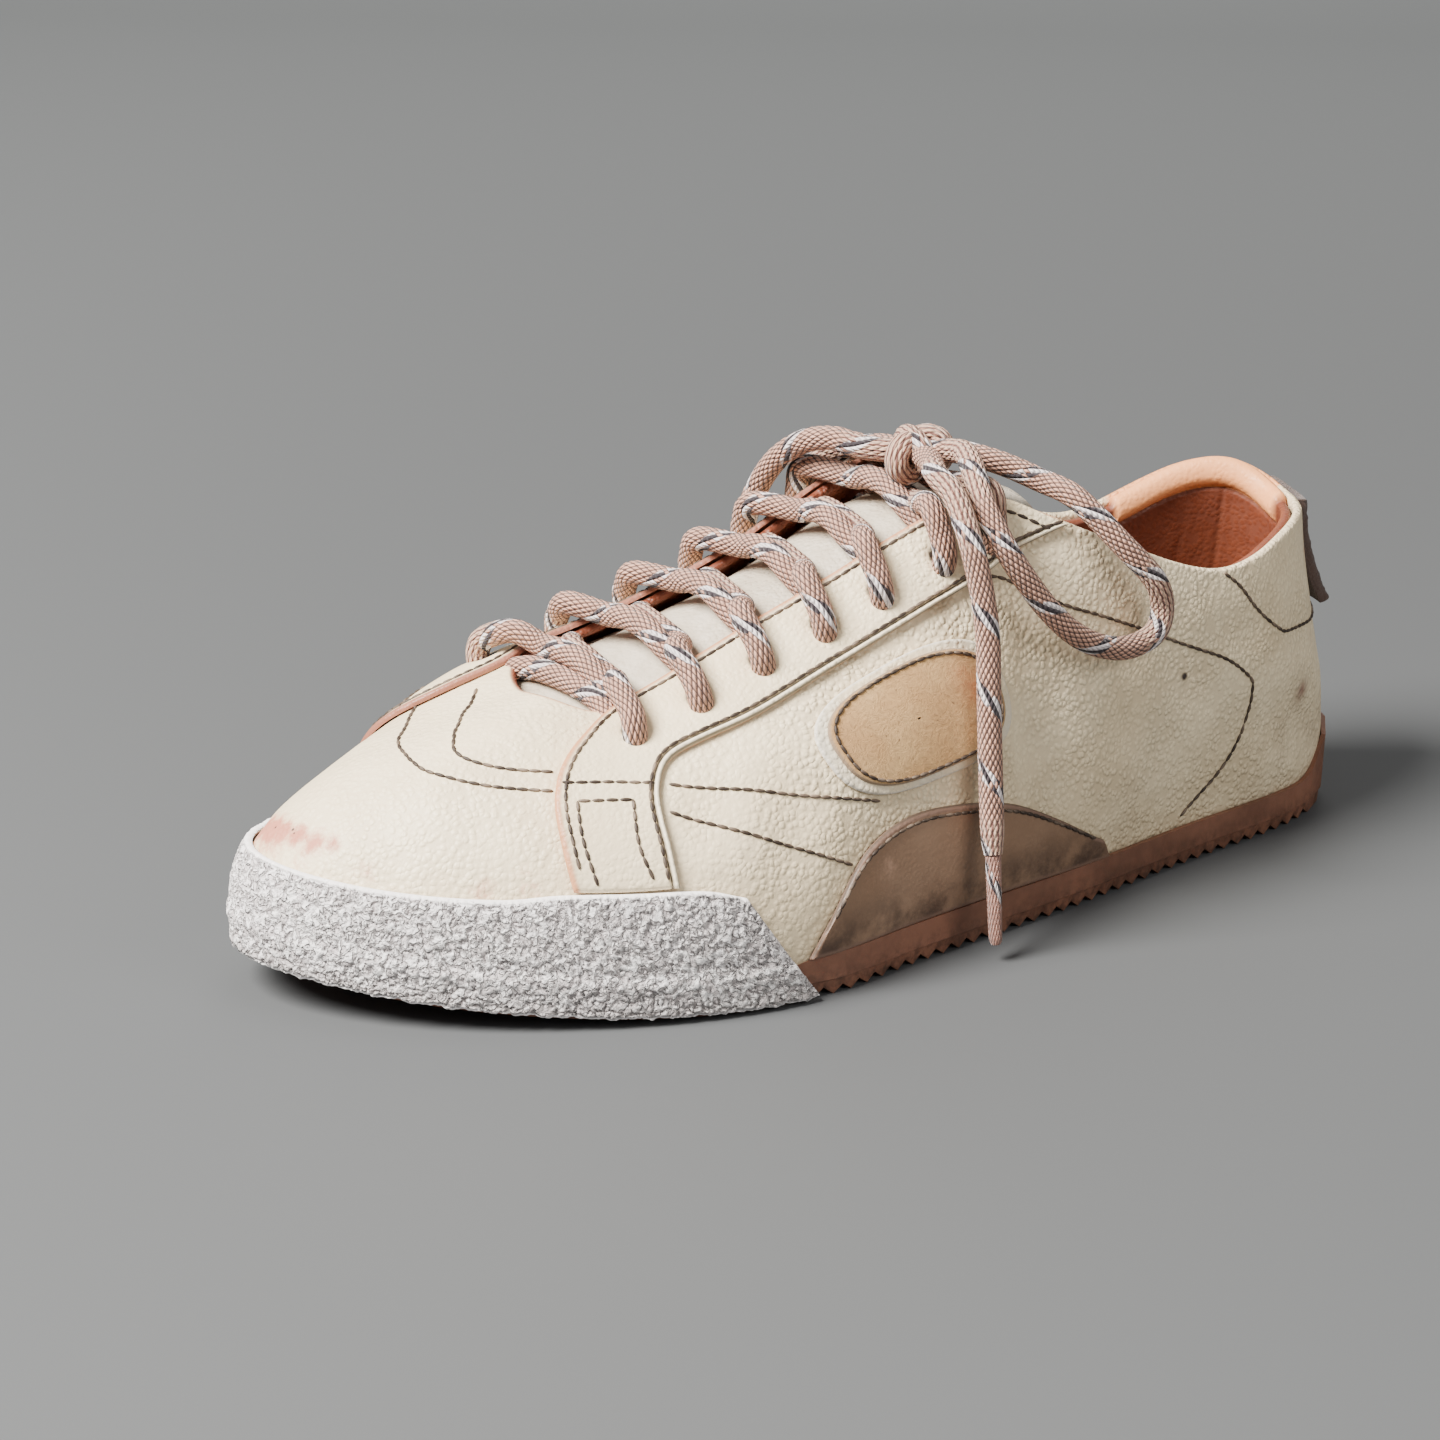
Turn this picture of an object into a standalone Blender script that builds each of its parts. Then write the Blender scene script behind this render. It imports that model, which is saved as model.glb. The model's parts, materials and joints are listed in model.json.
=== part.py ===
# Low lace-up sneaker for the left foot, standing empty on its sole
import math

import bmesh
import bpy
import numpy as np
from mathutils import Vector

# Driving sizes, in metres
LENGTH = 0.286
BALL_WIDTH = 0.098
INSTEP = 0.094
HEEL_HEIGHT = 0.078
WALL = 0.0022
CLEARANCE = 0.0003
FIT = 0.0005
FOOTBED = 0.0062
TOE_SPRING = 0.009

# Sections of the last, round the foot from the middle of the heel, by the outer
# side to the toe and back by the inner side. Each row holds the place on the
# feather line, then on the top edge: length from the heel as a share of LENGTH,
# side as a share of BALL_WIDTH, and the edge's height in shares of INSTEP and
# HEEL_HEIGHT.
SECTIONS = [
    (0.007, 0.026, 0.038, -0.005, 0.0, 0.985),
    (0.031, -0.153, 0.062, -0.148, 0.0, 0.968),
    (0.103, -0.262, 0.119, -0.262, 0.0, 0.949),
    (0.196, -0.306, 0.198, -0.321, 0.0, 0.91),
    (0.29, -0.352, 0.281, -0.321, 0.1, 0.886),
    (0.365, -0.393, 0.36, -0.301, 0.82, 0.15),
    (0.428, -0.418, 0.411, -0.214, 1.0, 0.0),
    (0.5, -0.444, 0.474, -0.184, 0.973, 0.0),
    (0.57, -0.474, 0.544, -0.148, 0.872, 0.0),
    (0.64, -0.505, 0.61, -0.117, 0.782, 0.0),
    (0.706, -0.49, 0.666, -0.092, 0.702, 0.0),
    (0.773, -0.434, 0.712, -0.071, 0.638, 0.0),
    (0.839, -0.342, 0.74, -0.051, 0.612, 0.0),
    (0.904, -0.219, 0.757, -0.012, 0.622, 0.0),
    (0.956, -0.071, 0.767, 0.033, 0.633, 0.0),
    (0.993, 0.112, 0.772, 0.084, 0.633, 0.0),
    (0.988, 0.286, 0.769, 0.138, 0.622, 0.0),
    (0.937, 0.403, 0.764, 0.194, 0.625, 0.0),
    (0.862, 0.469, 0.752, 0.25, 0.64, 0.0),
    (0.785, 0.495, 0.727, 0.281, 0.665, 0.0),
    (0.708, 0.485, 0.68, 0.265, 0.702, 0.0),
    (0.638, 0.444, 0.615, 0.24, 0.766, 0.0),
    (0.57, 0.388, 0.545, 0.214, 0.855, 0.0),
    (0.5, 0.337, 0.472, 0.219, 0.957, 0.0),
    (0.43, 0.306, 0.409, 0.235, 1.0, 0.0),
    (0.367, 0.296, 0.358, 0.301, 0.82, 0.15),
    (0.29, 0.306, 0.281, 0.306, 0.1, 0.892),
    (0.196, 0.332, 0.196, 0.291, 0.0, 0.905),
    (0.101, 0.316, 0.108, 0.241, 0.0, 1.008),
    (0.031, 0.198, 0.052, 0.133, 0.0, 1.042),
]
# How each section leaves its two ends, in shares of INSTEP: out and up at the
# feather line, then out and down at the top edge.
LEANS = [
    (0.035, 0.30, 0.00, 0.26),
    (0.035, 0.30, 0.01, 0.26),
    (0.035, 0.29, 0.04, 0.26),
    (0.03, 0.28, 0.05, 0.25),
    (0.03, 0.28, 0.06, 0.25),
    (0.03, 0.30, 0.10, 0.26),
    (0.03, 0.32, 0.17, 0.24),
    (0.03, 0.32, 0.22, 0.22),
    (0.03, 0.31, 0.25, 0.19),
    (0.04, 0.30, 0.27, 0.16),
    (0.04, 0.29, 0.28, 0.13),
    (0.04, 0.28, 0.27, 0.10),
    (0.04, 0.27, 0.26, 0.07),
    (0.04, 0.27, 0.28, 0.06),
    (0.05, 0.27, 0.31, 0.06),
    (0.055, 0.27, 0.32, 0.06),
    (0.07, 0.27, 0.30, 0.06),
    (0.055, 0.28, 0.28, 0.05),
    (0.04, 0.29, 0.28, 0.05),
    (0.035, 0.30, 0.27, 0.08),
    (0.035, 0.29, 0.26, 0.13),
    (0.035, 0.30, 0.25, 0.16),
    (0.04, 0.31, 0.22, 0.19),
    (0.04, 0.32, 0.18, 0.22),
    (0.04, 0.32, 0.13, 0.24),
    (0.04, 0.30, 0.08, 0.26),
    (0.04, 0.28, 0.05, 0.25),
    (0.035, 0.28, 0.04, 0.25),
    (0.035, 0.29, 0.03, 0.26),
    (0.035, 0.30, 0.01, 0.26),
]


def closed_spline(table):
    rows = np.array(table, dtype=float)
    count = len(rows)
    matrix = 4.0 * np.eye(count)
    for i in range(count):
        matrix[i, (i - 1) % count] = 1.0
        matrix[i, (i + 1) % count] = 1.0
    rises = 3.0 * (np.roll(rows, -1, axis=0) - np.roll(rows, 1, axis=0))
    slopes = np.linalg.solve(matrix, rises)

    def value(u):
        u = np.asarray(u, dtype=float)
        low = np.floor(u).astype(int)
        f = (u - low)[..., None]
        i = low % count
        j = (i + 1) % count
        return ((2 * f**3 - 3 * f**2 + 1) * rows[i] + (f**3 - 2 * f**2 + f) * slopes[i]
                + (3 * f**2 - 2 * f**3) * rows[j] + (f**3 - f**2) * slopes[j])
    return value


section = closed_spline(SECTIONS)
lean = closed_spline(LEANS)
ROUND = len(SECTIONS)


def ground(x):
    share = 0.5 - np.asarray(x) / LENGTH
    return TOE_SPRING * np.clip((share - 0.68) / 0.32, 0.0, None) ** 2


def feather(u):
    row = section(u)
    x = (0.5 - row[..., 0]) * LENGTH
    return np.stack([x, row[..., 1] * BALL_WIDTH, FOOTBED + ground(x)], -1)


def top_edge(u):
    row = section(u)
    height = row[..., 4] * INSTEP + row[..., 5] * HEEL_HEIGHT
    return np.stack([(0.5 - row[..., 2]) * LENGTH, row[..., 3] * BALL_WIDTH, height], -1)


def outward(line, u):
    along = line(u + 0.02) - line(u - 0.02)
    across = np.stack([-along[..., 1], along[..., 0], np.zeros(along.shape[:-1])], -1)
    return across / np.linalg.norm(across, axis=-1, keepdims=True)


def skin(u, h):
    u, h = np.broadcast_arrays(np.asarray(u, dtype=float), np.asarray(h, dtype=float))
    h = h[..., None]
    low = feather(u)
    high = top_edge(u)
    ends = lean(u) * INSTEP
    up = np.array([0.0, 0.0, 1.0])
    low_out = low + ends[..., 0:1] * outward(feather, u) + ends[..., 1:2] * up
    high_out = high + ends[..., 2:3] * outward(top_edge, u) - ends[..., 3:4] * up
    return (low * (1 - h)**3 + 3 * low_out * h * (1 - h)**2
            + 3 * high_out * h**2 * (1 - h) + high * h**3)


def skin_normal(u, h):
    u, h = np.broadcast_arrays(np.asarray(u, dtype=float), np.asarray(h, dtype=float))
    round_way = skin(u + 0.02, h) - skin(u - 0.02, h)
    up_way = skin(u, np.minimum(h + 0.01, 1.0)) - skin(u, np.maximum(h - 0.01, 0.0))
    normal = np.cross(up_way, round_way)
    return normal / np.linalg.norm(normal, axis=-1, keepdims=True)


def height_share(u, height):
    """Share h at which the skin stands a given height above the ground."""
    u, height = np.broadcast_arrays(np.asarray(u, dtype=float), np.asarray(height, dtype=float))
    steps = np.linspace(0.0, 1.0, 61)
    found = np.zeros(u.shape)
    for place in np.ndindex(u.shape):
        line = skin(u[place], steps)
        lift = line[:, 2] - ground(line[0, 0])
        found[place] = np.interp(height[place], np.maximum.accumulate(lift), steps)
    return found


def side(u, height, out):
    """Point beside the shoe at a height above the ground, out from the skin."""
    u, height, out = np.broadcast_arrays(u, height, out)
    h = height_share(u, height)
    point = skin(u, h) + outward(feather, u) * out[..., None]
    below = np.minimum(height - FOOTBED, 0.0)
    point[..., 2] += below
    return point


def over(u, h, out):
    """Point off the skin along its own normal."""
    u, h, out = np.broadcast_arrays(u, h, out)
    return skin(u, h) + skin_normal(u, h) * out[..., None]


def route(points, count):
    """Smooth open curve through hand-set points, read at even steps."""
    rows = np.array(points, dtype=float)
    padded = np.vstack([2 * rows[0] - rows[1], rows, 2 * rows[-1] - rows[-2]])
    places = np.linspace(0.0, len(rows) - 1.0, 16 * len(rows))
    line = []
    for place in places:
        i = min(int(place), len(rows) - 2)
        f = place - i
        a, b, c, d = padded[i:i + 4]
        line.append(0.5 * (2 * b + (c - a) * f + (2 * a - 5 * b + 4 * c - d) * f**2
                           + (3 * b - a - 3 * c + d) * f**3))
    line = np.array(line)
    gone = np.concatenate([[0.0], np.cumsum(np.linalg.norm(np.diff(line, axis=0), axis=1))])
    marks = np.linspace(0.0, gone[-1], count)
    return np.stack([np.interp(marks, gone, line[:, k]) for k in range(line.shape[1])], -1)


def material(name, colour, roughness, metallic=0.0):
    made = bpy.data.materials.new(name)
    made.use_nodes = True
    shader = made.node_tree.nodes["Principled BSDF"]
    shader.inputs["Base Color"].default_value = (*colour, 1.0)
    shader.inputs["Roughness"].default_value = roughness
    shader.inputs["Metallic"].default_value = metallic
    made.diffuse_color = (*colour, 1.0)
    return made


def place_mesh(name, points, faces, finish, crease=50.0):
    """Object from points and faces, turned so that its faces look outward."""
    mesh = bpy.data.meshes.new(name)
    mesh.from_pydata([tuple(p) for p in points], [], faces)
    work = bmesh.new()
    work.from_mesh(mesh)
    bmesh.ops.recalc_face_normals(work, faces=work.faces)
    if work.calc_volume(signed=True) < 0:
        bmesh.ops.reverse_faces(work, faces=work.faces)
    work.to_mesh(mesh)
    work.free()
    mesh.shade_smooth()
    mesh.set_sharp_from_angle(angle=math.radians(crease))
    mesh.materials.append(finish)
    made = bpy.data.objects.new(name, mesh)
    bpy.context.scene.collection.objects.link(made)
    return made


def shell(name, outer, inner, finish, ring=False):
    """Wall between two point grids of the same shape, closed round its rim."""
    rows, cols = outer.shape[:2]
    points = np.concatenate([outer.reshape(-1, 3), inner.reshape(-1, 3)])
    back = rows * cols
    faces = []
    last = rows if ring else rows - 1
    for i in range(last):
        j = (i + 1) % rows
        for k in range(cols - 1):
            a, b = i * cols + k, j * cols + k
            faces.append((a, b, b + 1, a + 1))
            faces.append((back + a, back + a + 1, back + b + 1, back + b))
        for k in (0, cols - 1):
            a, b = i * cols + k, j * cols + k
            faces.append((a, b, back + b, back + a))
    if not ring:
        for i in (0, rows - 1):
            for k in range(cols - 1):
                a = i * cols + k
                faces.append((a, a + 1, back + a + 1, back + a))
    return place_mesh(name, points, faces, finish)


def loft(name, rings, finish):
    """Closed body through rings that run round the foot, bridged across the
    foot at its first and last ring."""
    rings = np.array(rings)
    count = rings.shape[1]
    points = rings.reshape(-1, 3)
    faces = []
    for r in range(len(rings) - 1):
        for i in range(count):
            j = (i + 1) % count
            faces.append((r * count + i, r * count + j, (r + 1) * count + j, (r + 1) * count + i))
    for start in (0, (len(rings) - 1) * count):
        faces.append((start, start + 1, start + count - 1))
        half = count // 2
        for i in range(1, half - 1):
            faces.append((start + i, start + i + 1, start + count - i - 1, start + count - i))
        faces.append((start + half - 1, start + half, start + half + 1))
    return place_mesh(name, points, faces, finish)


def cut(body, tool):
    change = body.modifiers.new("Cut " + tool.name, "BOOLEAN")
    change.operation = "DIFFERENCE"
    change.solver = "EXACT"
    change.object = tool
    tool.hide_render = True
    tool.display_type = "WIRE"


# The skin is about this many times longer over h from 0 to 1 than over one u
UNITS_UP = 4.5

# Colours read from the photo
CREAM = (0.74, 0.68, 0.57)
CHALK = (0.70, 0.67, 0.68)
TAN = (0.52, 0.38, 0.26)
CLAY = (0.38, 0.12, 0.06)
PEACH = (0.50, 0.29, 0.19)
MUSHROOM = (0.39, 0.29, 0.21)
BARK = (0.08, 0.05, 0.04)
DUSTY = (0.49, 0.30, 0.25)

# Sizes of the pieces, in metres
SOLE_LIP = 0.0019
SOLE_LIP_FRONT = 0.0009
SOLE_INSET = 0.0008
SOLE_STEP_HEIGHT = 0.0034
RIM_HEIGHT = 0.0098
RIM_HEIGHT_HEEL = 0.0195
RIM_HEIGHT_FRONT = 0.0080
TOOTH_PITCH = 0.0048
TOOTH_DEPTH = 0.0018
TOOTH_REACH = 0.0085
BUMPER_THICK = 0.0015
BUMPER_FOOT = 0.0012
BUMPER_EASE = 0.0002
BUMPER_STEP = (0.0005, 0.0035)
OVERLAY = 0.0012
INSOLE_THICK = 0.0030
LINING_THICK = 0.0025
TONGUE_THICK = 0.0025
LACE = 0.0055
EYELET = 0.0046

# Edge of the eyestay and its leg from the top corner down to the bumper: the
# throat side, then the stitched side, each as u and h on the skin
EYESTAY = [
    (5.85, 1.0, 5.05, 0.985),
    (6.5, 1.0, 5.65, 0.885),
    (7.2, 1.0, 6.4, 0.81),
    (8.0, 1.0, 7.3, 0.78),
    (9.0, 1.0, 8.4, 0.77),
    (10.0, 1.0, 9.5, 0.75),
    (10.9, 1.0, 10.3, 0.75),
    (11.6, 0.99, 10.75, 0.74),
    (12.15, 0.94, 11.0, 0.71),
    (12.5, 0.83, 11.12, 0.66),
    (12.6, 0.72, 11.15, 0.60),
    (12.5, 0.60, 11.1, 0.53),
    (12.3, 0.48, 11.0, 0.44),
    (12.02, 0.316, 10.88, 0.321),
]
# Eyelets up one side, as u and h
EYELETS = [
    (11.45, 0.86),
    (10.2, 0.88),
    (9.25, 0.89),
    (8.42, 0.89),
    (7.7, 0.89),
    (6.98, 0.89),
    (6.25, 0.90),
]
# Top line of the bumper, as u and h
BUMPER_TOP = [
    (10.1, 0.255),
    (10.6, 0.295),
    (11.3, 0.305),
    (12.1, 0.30),
    (12.7, 0.27),
    (13.7, 0.25),
    (15.0, 0.24),
    (16.3, 0.25),
    (17.3, 0.27),
    (17.9, 0.30),
    (18.7, 0.305),
    (19.4, 0.295),
    (19.9, 0.255),
]
# Patch at the arch, front to rear: its foot on the rim, then its top line
ARCH_PATCH = [
    (9.27, 0.065, 9.1, 0.11),
    (8.9, 0.06, 8.65, 0.25),
    (8.4, 0.06, 8.25, 0.305),
    (7.8, 0.06, 7.7, 0.32),
    (7.1, 0.06, 7.0, 0.295),
    (6.3, 0.06, 6.2, 0.25),
    (5.4, 0.06, 5.35, 0.18),
    (4.5, 0.06, 4.65, 0.10),
]
SIDE_PATCH_MIDDLE = (7.6, 0.545)
SIDE_PATCH_REACH = (1.25, 0.165)
LINING_TO = 4.7
LINING_DEPTH = 0.45
TAB_REACH = 0.42
TAB_FROM = 0.56
TAB_TO = 0.985
TAB_THICK = 0.0030
TAB_FLARE = 0.0022
# Tongue from under the vamp to its tip: the skin's u and h where its outer edge
# lies, then how far its middle lies above and in front of the line between the
# throat's edges, in shares of INSTEP and of LENGTH
TONGUE = [
    (13.0, 0.80, -0.078, 0.030),
    (12.4, 0.84, -0.064, 0.012),
    (11.6, 0.86, -0.045, 0.0),
    (10.6, 0.87, -0.035, 0.0),
    (9.6, 0.87, -0.030, 0.0),
    (8.6, 0.88, -0.030, 0.0),
    (7.7, 0.88, -0.036, 0.0),
    (6.9, 0.88, -0.045, 0.0),
    (6.1, 0.88, -0.040, 0.0),
    (5.5, 0.90, -0.020, 0.0),
]
TONGUE_TIP = 0.012
# Stretch of a lace between two rows of eyelets: place across the tongue from -1
# to 1, then the height above it of the lower and the upper strand in lace widths
STRAND = [
    (-0.45, 0.15, 0.70),
    (-0.15, 0.0, 0.75),
    (0.15, 0.0, 0.65),
    (0.42, 0.05, 0.30),
]
OVER_DRIFT = 0.10
UNDER_DRIFT = 0.75
EDGE_HUMP = 0.22
TOP_STRAND_LIFT = 0.25
# Free cords of the bow, each as a route set by hand, in metres
KNOT_SIZE = (0.0125, 0.0150, 0.0085)
KNOT_PLACE = (0.0165, -0.0030, 0.1015)
LOOP_OUTER = [
    (0.0248, -0.0060, 0.1020),
    (0.0320, -0.0130, 0.1000),
    (0.0385, -0.0210, 0.0965),
    (0.0415, -0.0300, 0.0940),
    (0.0480, -0.0385, 0.0845),
    (0.0550, -0.0420, 0.0760),
    (0.0585, -0.0412, 0.0688),
    (0.0560, -0.0420, 0.0633),
    (0.0482, -0.0425, 0.0613),
    (0.0389, -0.0430, 0.0633),
    (0.0300, -0.0430, 0.0685),
    (0.0220, -0.0420, 0.0767),
    (0.0150, -0.0392, 0.0876),
    (0.0132, -0.0330, 0.0963),
    (0.0152, -0.0268, 0.1012),
    (0.0186, -0.0198, 0.1040),
    (0.0205, -0.0132, 0.1042),
]
LOOP_INNER = [
    (0.0248, 0.0010, 0.1020),
    (0.0310, 0.0070, 0.1005),
    (0.0360, 0.0150, 0.0990),
    (0.0400, 0.0250, 0.0965),
    (0.0430, 0.0335, 0.0900),
    (0.0450, 0.0375, 0.0820),
    (0.0460, 0.0390, 0.0740),
    (0.0430, 0.0398, 0.0670),
    (0.0360, 0.0400, 0.0635),
    (0.0280, 0.0400, 0.0655),
    (0.0205, 0.0392, 0.0720),
    (0.0150, 0.0370, 0.0815),
    (0.0125, 0.0315, 0.0910),
    (0.0130, 0.0230, 0.0970),
    (0.0155, 0.0140, 0.1000),
    (0.0170, 0.0090, 0.1010),
]
END_OUTER = [
    (0.0128, -0.0131, 0.1030),
    (0.0080, -0.0215, 0.1025),
    (0.0068, -0.0300, 0.0995),
    (0.0057, -0.0375, 0.0910),
    (0.0065, -0.0410, 0.0800),
    (0.0068, -0.0430, 0.0702),
    (0.0060, -0.0448, 0.0600),
    (0.0050, -0.0472, 0.0456),
    (0.0040, -0.0495, 0.0343),
    (0.0030, -0.0518, 0.0238),
]
END_INNER = [
    (0.0085, 0.0060, 0.1025),
    (0.0055, 0.0130, 0.1035),
    (0.0030, 0.0220, 0.1010),
    (0.0010, 0.0305, 0.0945),
    (-0.0005, 0.0365, 0.0850),
    (-0.0015, 0.0400, 0.0740),
    (-0.0025, 0.0425, 0.0620),
    (-0.0035, 0.0440, 0.0500),
    (-0.0045, 0.0455, 0.0380),
    (-0.0055, 0.0470, 0.0270),
]
TIP_LENGTH = 0.0200
TIP_WIDTH = 0.0042

# Teeth run between these shares of length; the front lies under the bumper
TEETH_FROM = 0.065
TEETH_TO = 0.645
BUMPER_REAR = 9.17


def blend(value, low, high):
    f = np.clip((np.asarray(value, dtype=float) - low) / (high - low), 0.0, 1.0)
    return f * f * (3 - 2 * f)


def off_heel(u):
    u = np.asarray(u, dtype=float) % ROUND
    return np.minimum(u, ROUND - u)


def rim_height(u):
    heel = 1.0 - blend(off_heel(u), 0.9, 1.8)
    front = blend(off_heel(u), BUMPER_REAR, BUMPER_REAR + 0.5)
    return (RIM_HEIGHT + (RIM_HEIGHT_HEEL - RIM_HEIGHT) * heel
            + (RIM_HEIGHT_FRONT - RIM_HEIGHT) * front)


def sole_lip(u):
    front = blend(off_heel(u), BUMPER_REAR - 0.4, BUMPER_REAR)
    return SOLE_LIP + (SOLE_LIP_FRONT - SOLE_LIP) * front


def sole_stations():
    """Places round the foot: one at each tooth tip and valley, then the toe."""
    fine = np.linspace(0.3, 14.9, 1500)
    share = section(fine)[:, 0]
    teeth = int(round((TEETH_TO - TEETH_FROM) * LENGTH / TOOTH_PITCH))
    marks = TEETH_FROM + np.arange(2 * teeth + 1) * 0.5 * TOOTH_PITCH / LENGTH
    outer = np.interp(marks, share, fine)
    inner_fine = np.linspace(29.7, 15.1, 1500)
    inner = np.interp(marks, section(inner_fine)[:, 0], inner_fine)
    toe = np.linspace(outer[-1], inner[-1], 27)[1:-1]
    heel = np.linspace(0.0, outer[0], 5)[:-1]
    heel_back = np.linspace(inner[0], ROUND, 5)[1:-1]
    stations = np.concatenate([heel, outer, toe, inner[::-1], heel_back])
    teeth_wave = np.where(np.arange(2 * teeth + 1) % 2 == 1, 1.0, 0.0)
    wave = np.concatenate([np.zeros(len(heel)), teeth_wave, np.zeros(len(toe)),
                           teeth_wave[::-1], np.zeros(len(heel_back))])
    return stations, wave


def build_outsole():
    u, wave = sole_stations()
    lip = sole_lip(u)
    rim = rim_height(u)
    notch = wave * TOOTH_DEPTH
    zero = np.zeros(len(u))
    seat = zero + FIT
    middle = 0.55 * rim + 0.45 * FOOTBED
    rings = [
        side(u, zero, lip - SOLE_INSET - TOOTH_REACH),
        side(u, notch, lip - SOLE_INSET - TOOTH_REACH + CLEARANCE),
        side(u, notch, lip - SOLE_INSET),
        side(u, zero + SOLE_STEP_HEIGHT, lip - 0.6 * SOLE_INSET),
        side(u, zero + 1.1 * SOLE_STEP_HEIGHT, lip),
        side(u, rim, lip - 0.0003),
        side(u, rim, seat),
        side(u, middle, seat),
        side(u, zero + FOOTBED - CLEARANCE, seat),
    ]
    return loft("outsole", rings, material("sole_rubber", PEACH, 0.75))


def build_insole():
    u = np.linspace(0.0, ROUND, 42, endpoint=False)
    inset = -(WALL + 2 * CLEARANCE)
    top = FOOTBED + INSOLE_THICK
    rings = [
        side(u, FOOTBED, inset - 0.0006),
        side(u, FOOTBED + 0.0006, inset),
        side(u, top - 0.0006, inset),
        side(u, top, inset - 0.0008),
    ]
    return loft("insole", rings, material("insole_leather", CLAY, 0.8))


def build_upper():
    u = np.linspace(0.0, ROUND, 73, endpoint=False)[:, None]
    h = np.array([0.0, 0.08, 0.20, 0.33, 0.46, 0.59, 0.72, 0.86, 1.0])[None, :]
    return shell("upper", over(u, h, 0.0), over(u, h, -WALL), material("cream_leather", CREAM, 0.6),
                 ring=True)


def strip(table, count):
    """Columns of a strip on the skin between two hand-set edges."""
    weight = np.array([1.0, UNITS_UP, 1.0, UNITS_UP])
    line = route(np.array(table) * weight, count) / weight
    line[:, 1::2] = np.minimum(line[:, 1::2], 1.0)
    return line[:, 0:2], line[:, 2:4]


def overlay(name, first, second, across, finish, inner, outer, flip=False):
    """Thin piece that lies on the skin between two lines of u and h."""
    share = np.linspace(0.0, 1.0, across)[None, :, None]
    grid = first[:, None, :] * (1 - share) + second[:, None, :] * share
    u = ROUND - grid[..., 0] if flip else grid[..., 0]
    return shell(name, over(u, grid[..., 1], outer), over(u, grid[..., 1], inner), finish)


def build_eyestays(upper):
    first, second = strip(EYESTAY, 26)
    for name, flip in (("eyestay_outer_side", False), ("eyestay_inner_side", True)):
        finish = material(name + "_leather", CREAM, 0.6)
        stay = overlay(name, first, second, 4, finish, FIT, FIT + OVERLAY, flip)
        for number, (u, h) in enumerate(EYELETS):
            place = ROUND - u if flip else u
            punch = build_punch(f"punch_{name}_{number + 1}", place, h)
            cut(stay, punch)
            cut(upper, punch)


def build_punch(name, u, h):
    """Cutter for one eyelet hole, square to the leather."""
    middle = Vector(over(u, h, 0.0))
    way = Vector(skin_normal(u, h))
    work = bmesh.new()
    bmesh.ops.create_cone(work, cap_ends=True, segments=8, radius1=EYELET / 2,
                          radius2=EYELET / 2, depth=2.2 * (WALL + OVERLAY + FIT) + 0.002)
    mesh = bpy.data.meshes.new(name)
    work.to_mesh(mesh)
    work.free()
    punch = bpy.data.objects.new(name, mesh)
    punch.location = middle
    punch.rotation_mode = "QUATERNION"
    punch.rotation_quaternion = way.to_track_quat("Z", "X")
    bpy.context.scene.collection.objects.link(punch)
    return punch


def build_bumper():
    line = route(BUMPER_TOP, 200)
    share = np.linspace(0.0, 1.0, 34)
    foot_u = BUMPER_REAR + share * (ROUND - 2 * BUMPER_REAR)
    top_u = line[0, 0] + share * (line[-1, 0] - line[0, 0])
    top_h = np.interp(top_u, line[:, 0], line[:, 1])
    top = skin(top_u, top_h)
    top_height = top[:, 2] - ground(skin(top_u, 0.0)[:, 0])
    outer = []
    inner = []
    for v in (0.0, 0.22, 0.34, 0.50, 0.75, 1.0):
        u = foot_u * (1 - v) + top_u * v
        height = BUMPER_FOOT * (1 - v) + top_height * v
        lip = sole_lip(u) + CLEARANCE + BUMPER_EASE
        clear = blend(height, rim_height(u) + BUMPER_STEP[0], rim_height(u) + BUMPER_STEP[1])
        out = lip + (FIT - lip) * clear
        inner.append(lean_out(u, height, out))
        outer.append(lean_out(u, height, out + BUMPER_THICK))
    outer = np.swapaxes(np.array(outer), 0, 1)
    inner = np.swapaxes(np.array(inner), 0, 1)
    return shell("toe_bumper", outer, inner, material("bumper_rubber", CHALK, 0.9))


def lean_out(u, height, out):
    """Point at a height above the ground, out along the skin's own normal."""
    h = height_share(u, height)
    point = skin(u, h) + skin_normal(u, np.maximum(h, 0.02)) * np.asarray(out)[..., None]
    point[..., 2] += np.minimum(height - FOOTBED, 0.0)
    return point


def build_arch_patch():
    foot, top = strip(ARCH_PATCH, 16)
    finish = material("arch_leather", MUSHROOM, 0.7)
    return overlay("arch_patch", foot, top, 4, finish, FIT, FIT + OVERLAY)


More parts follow.
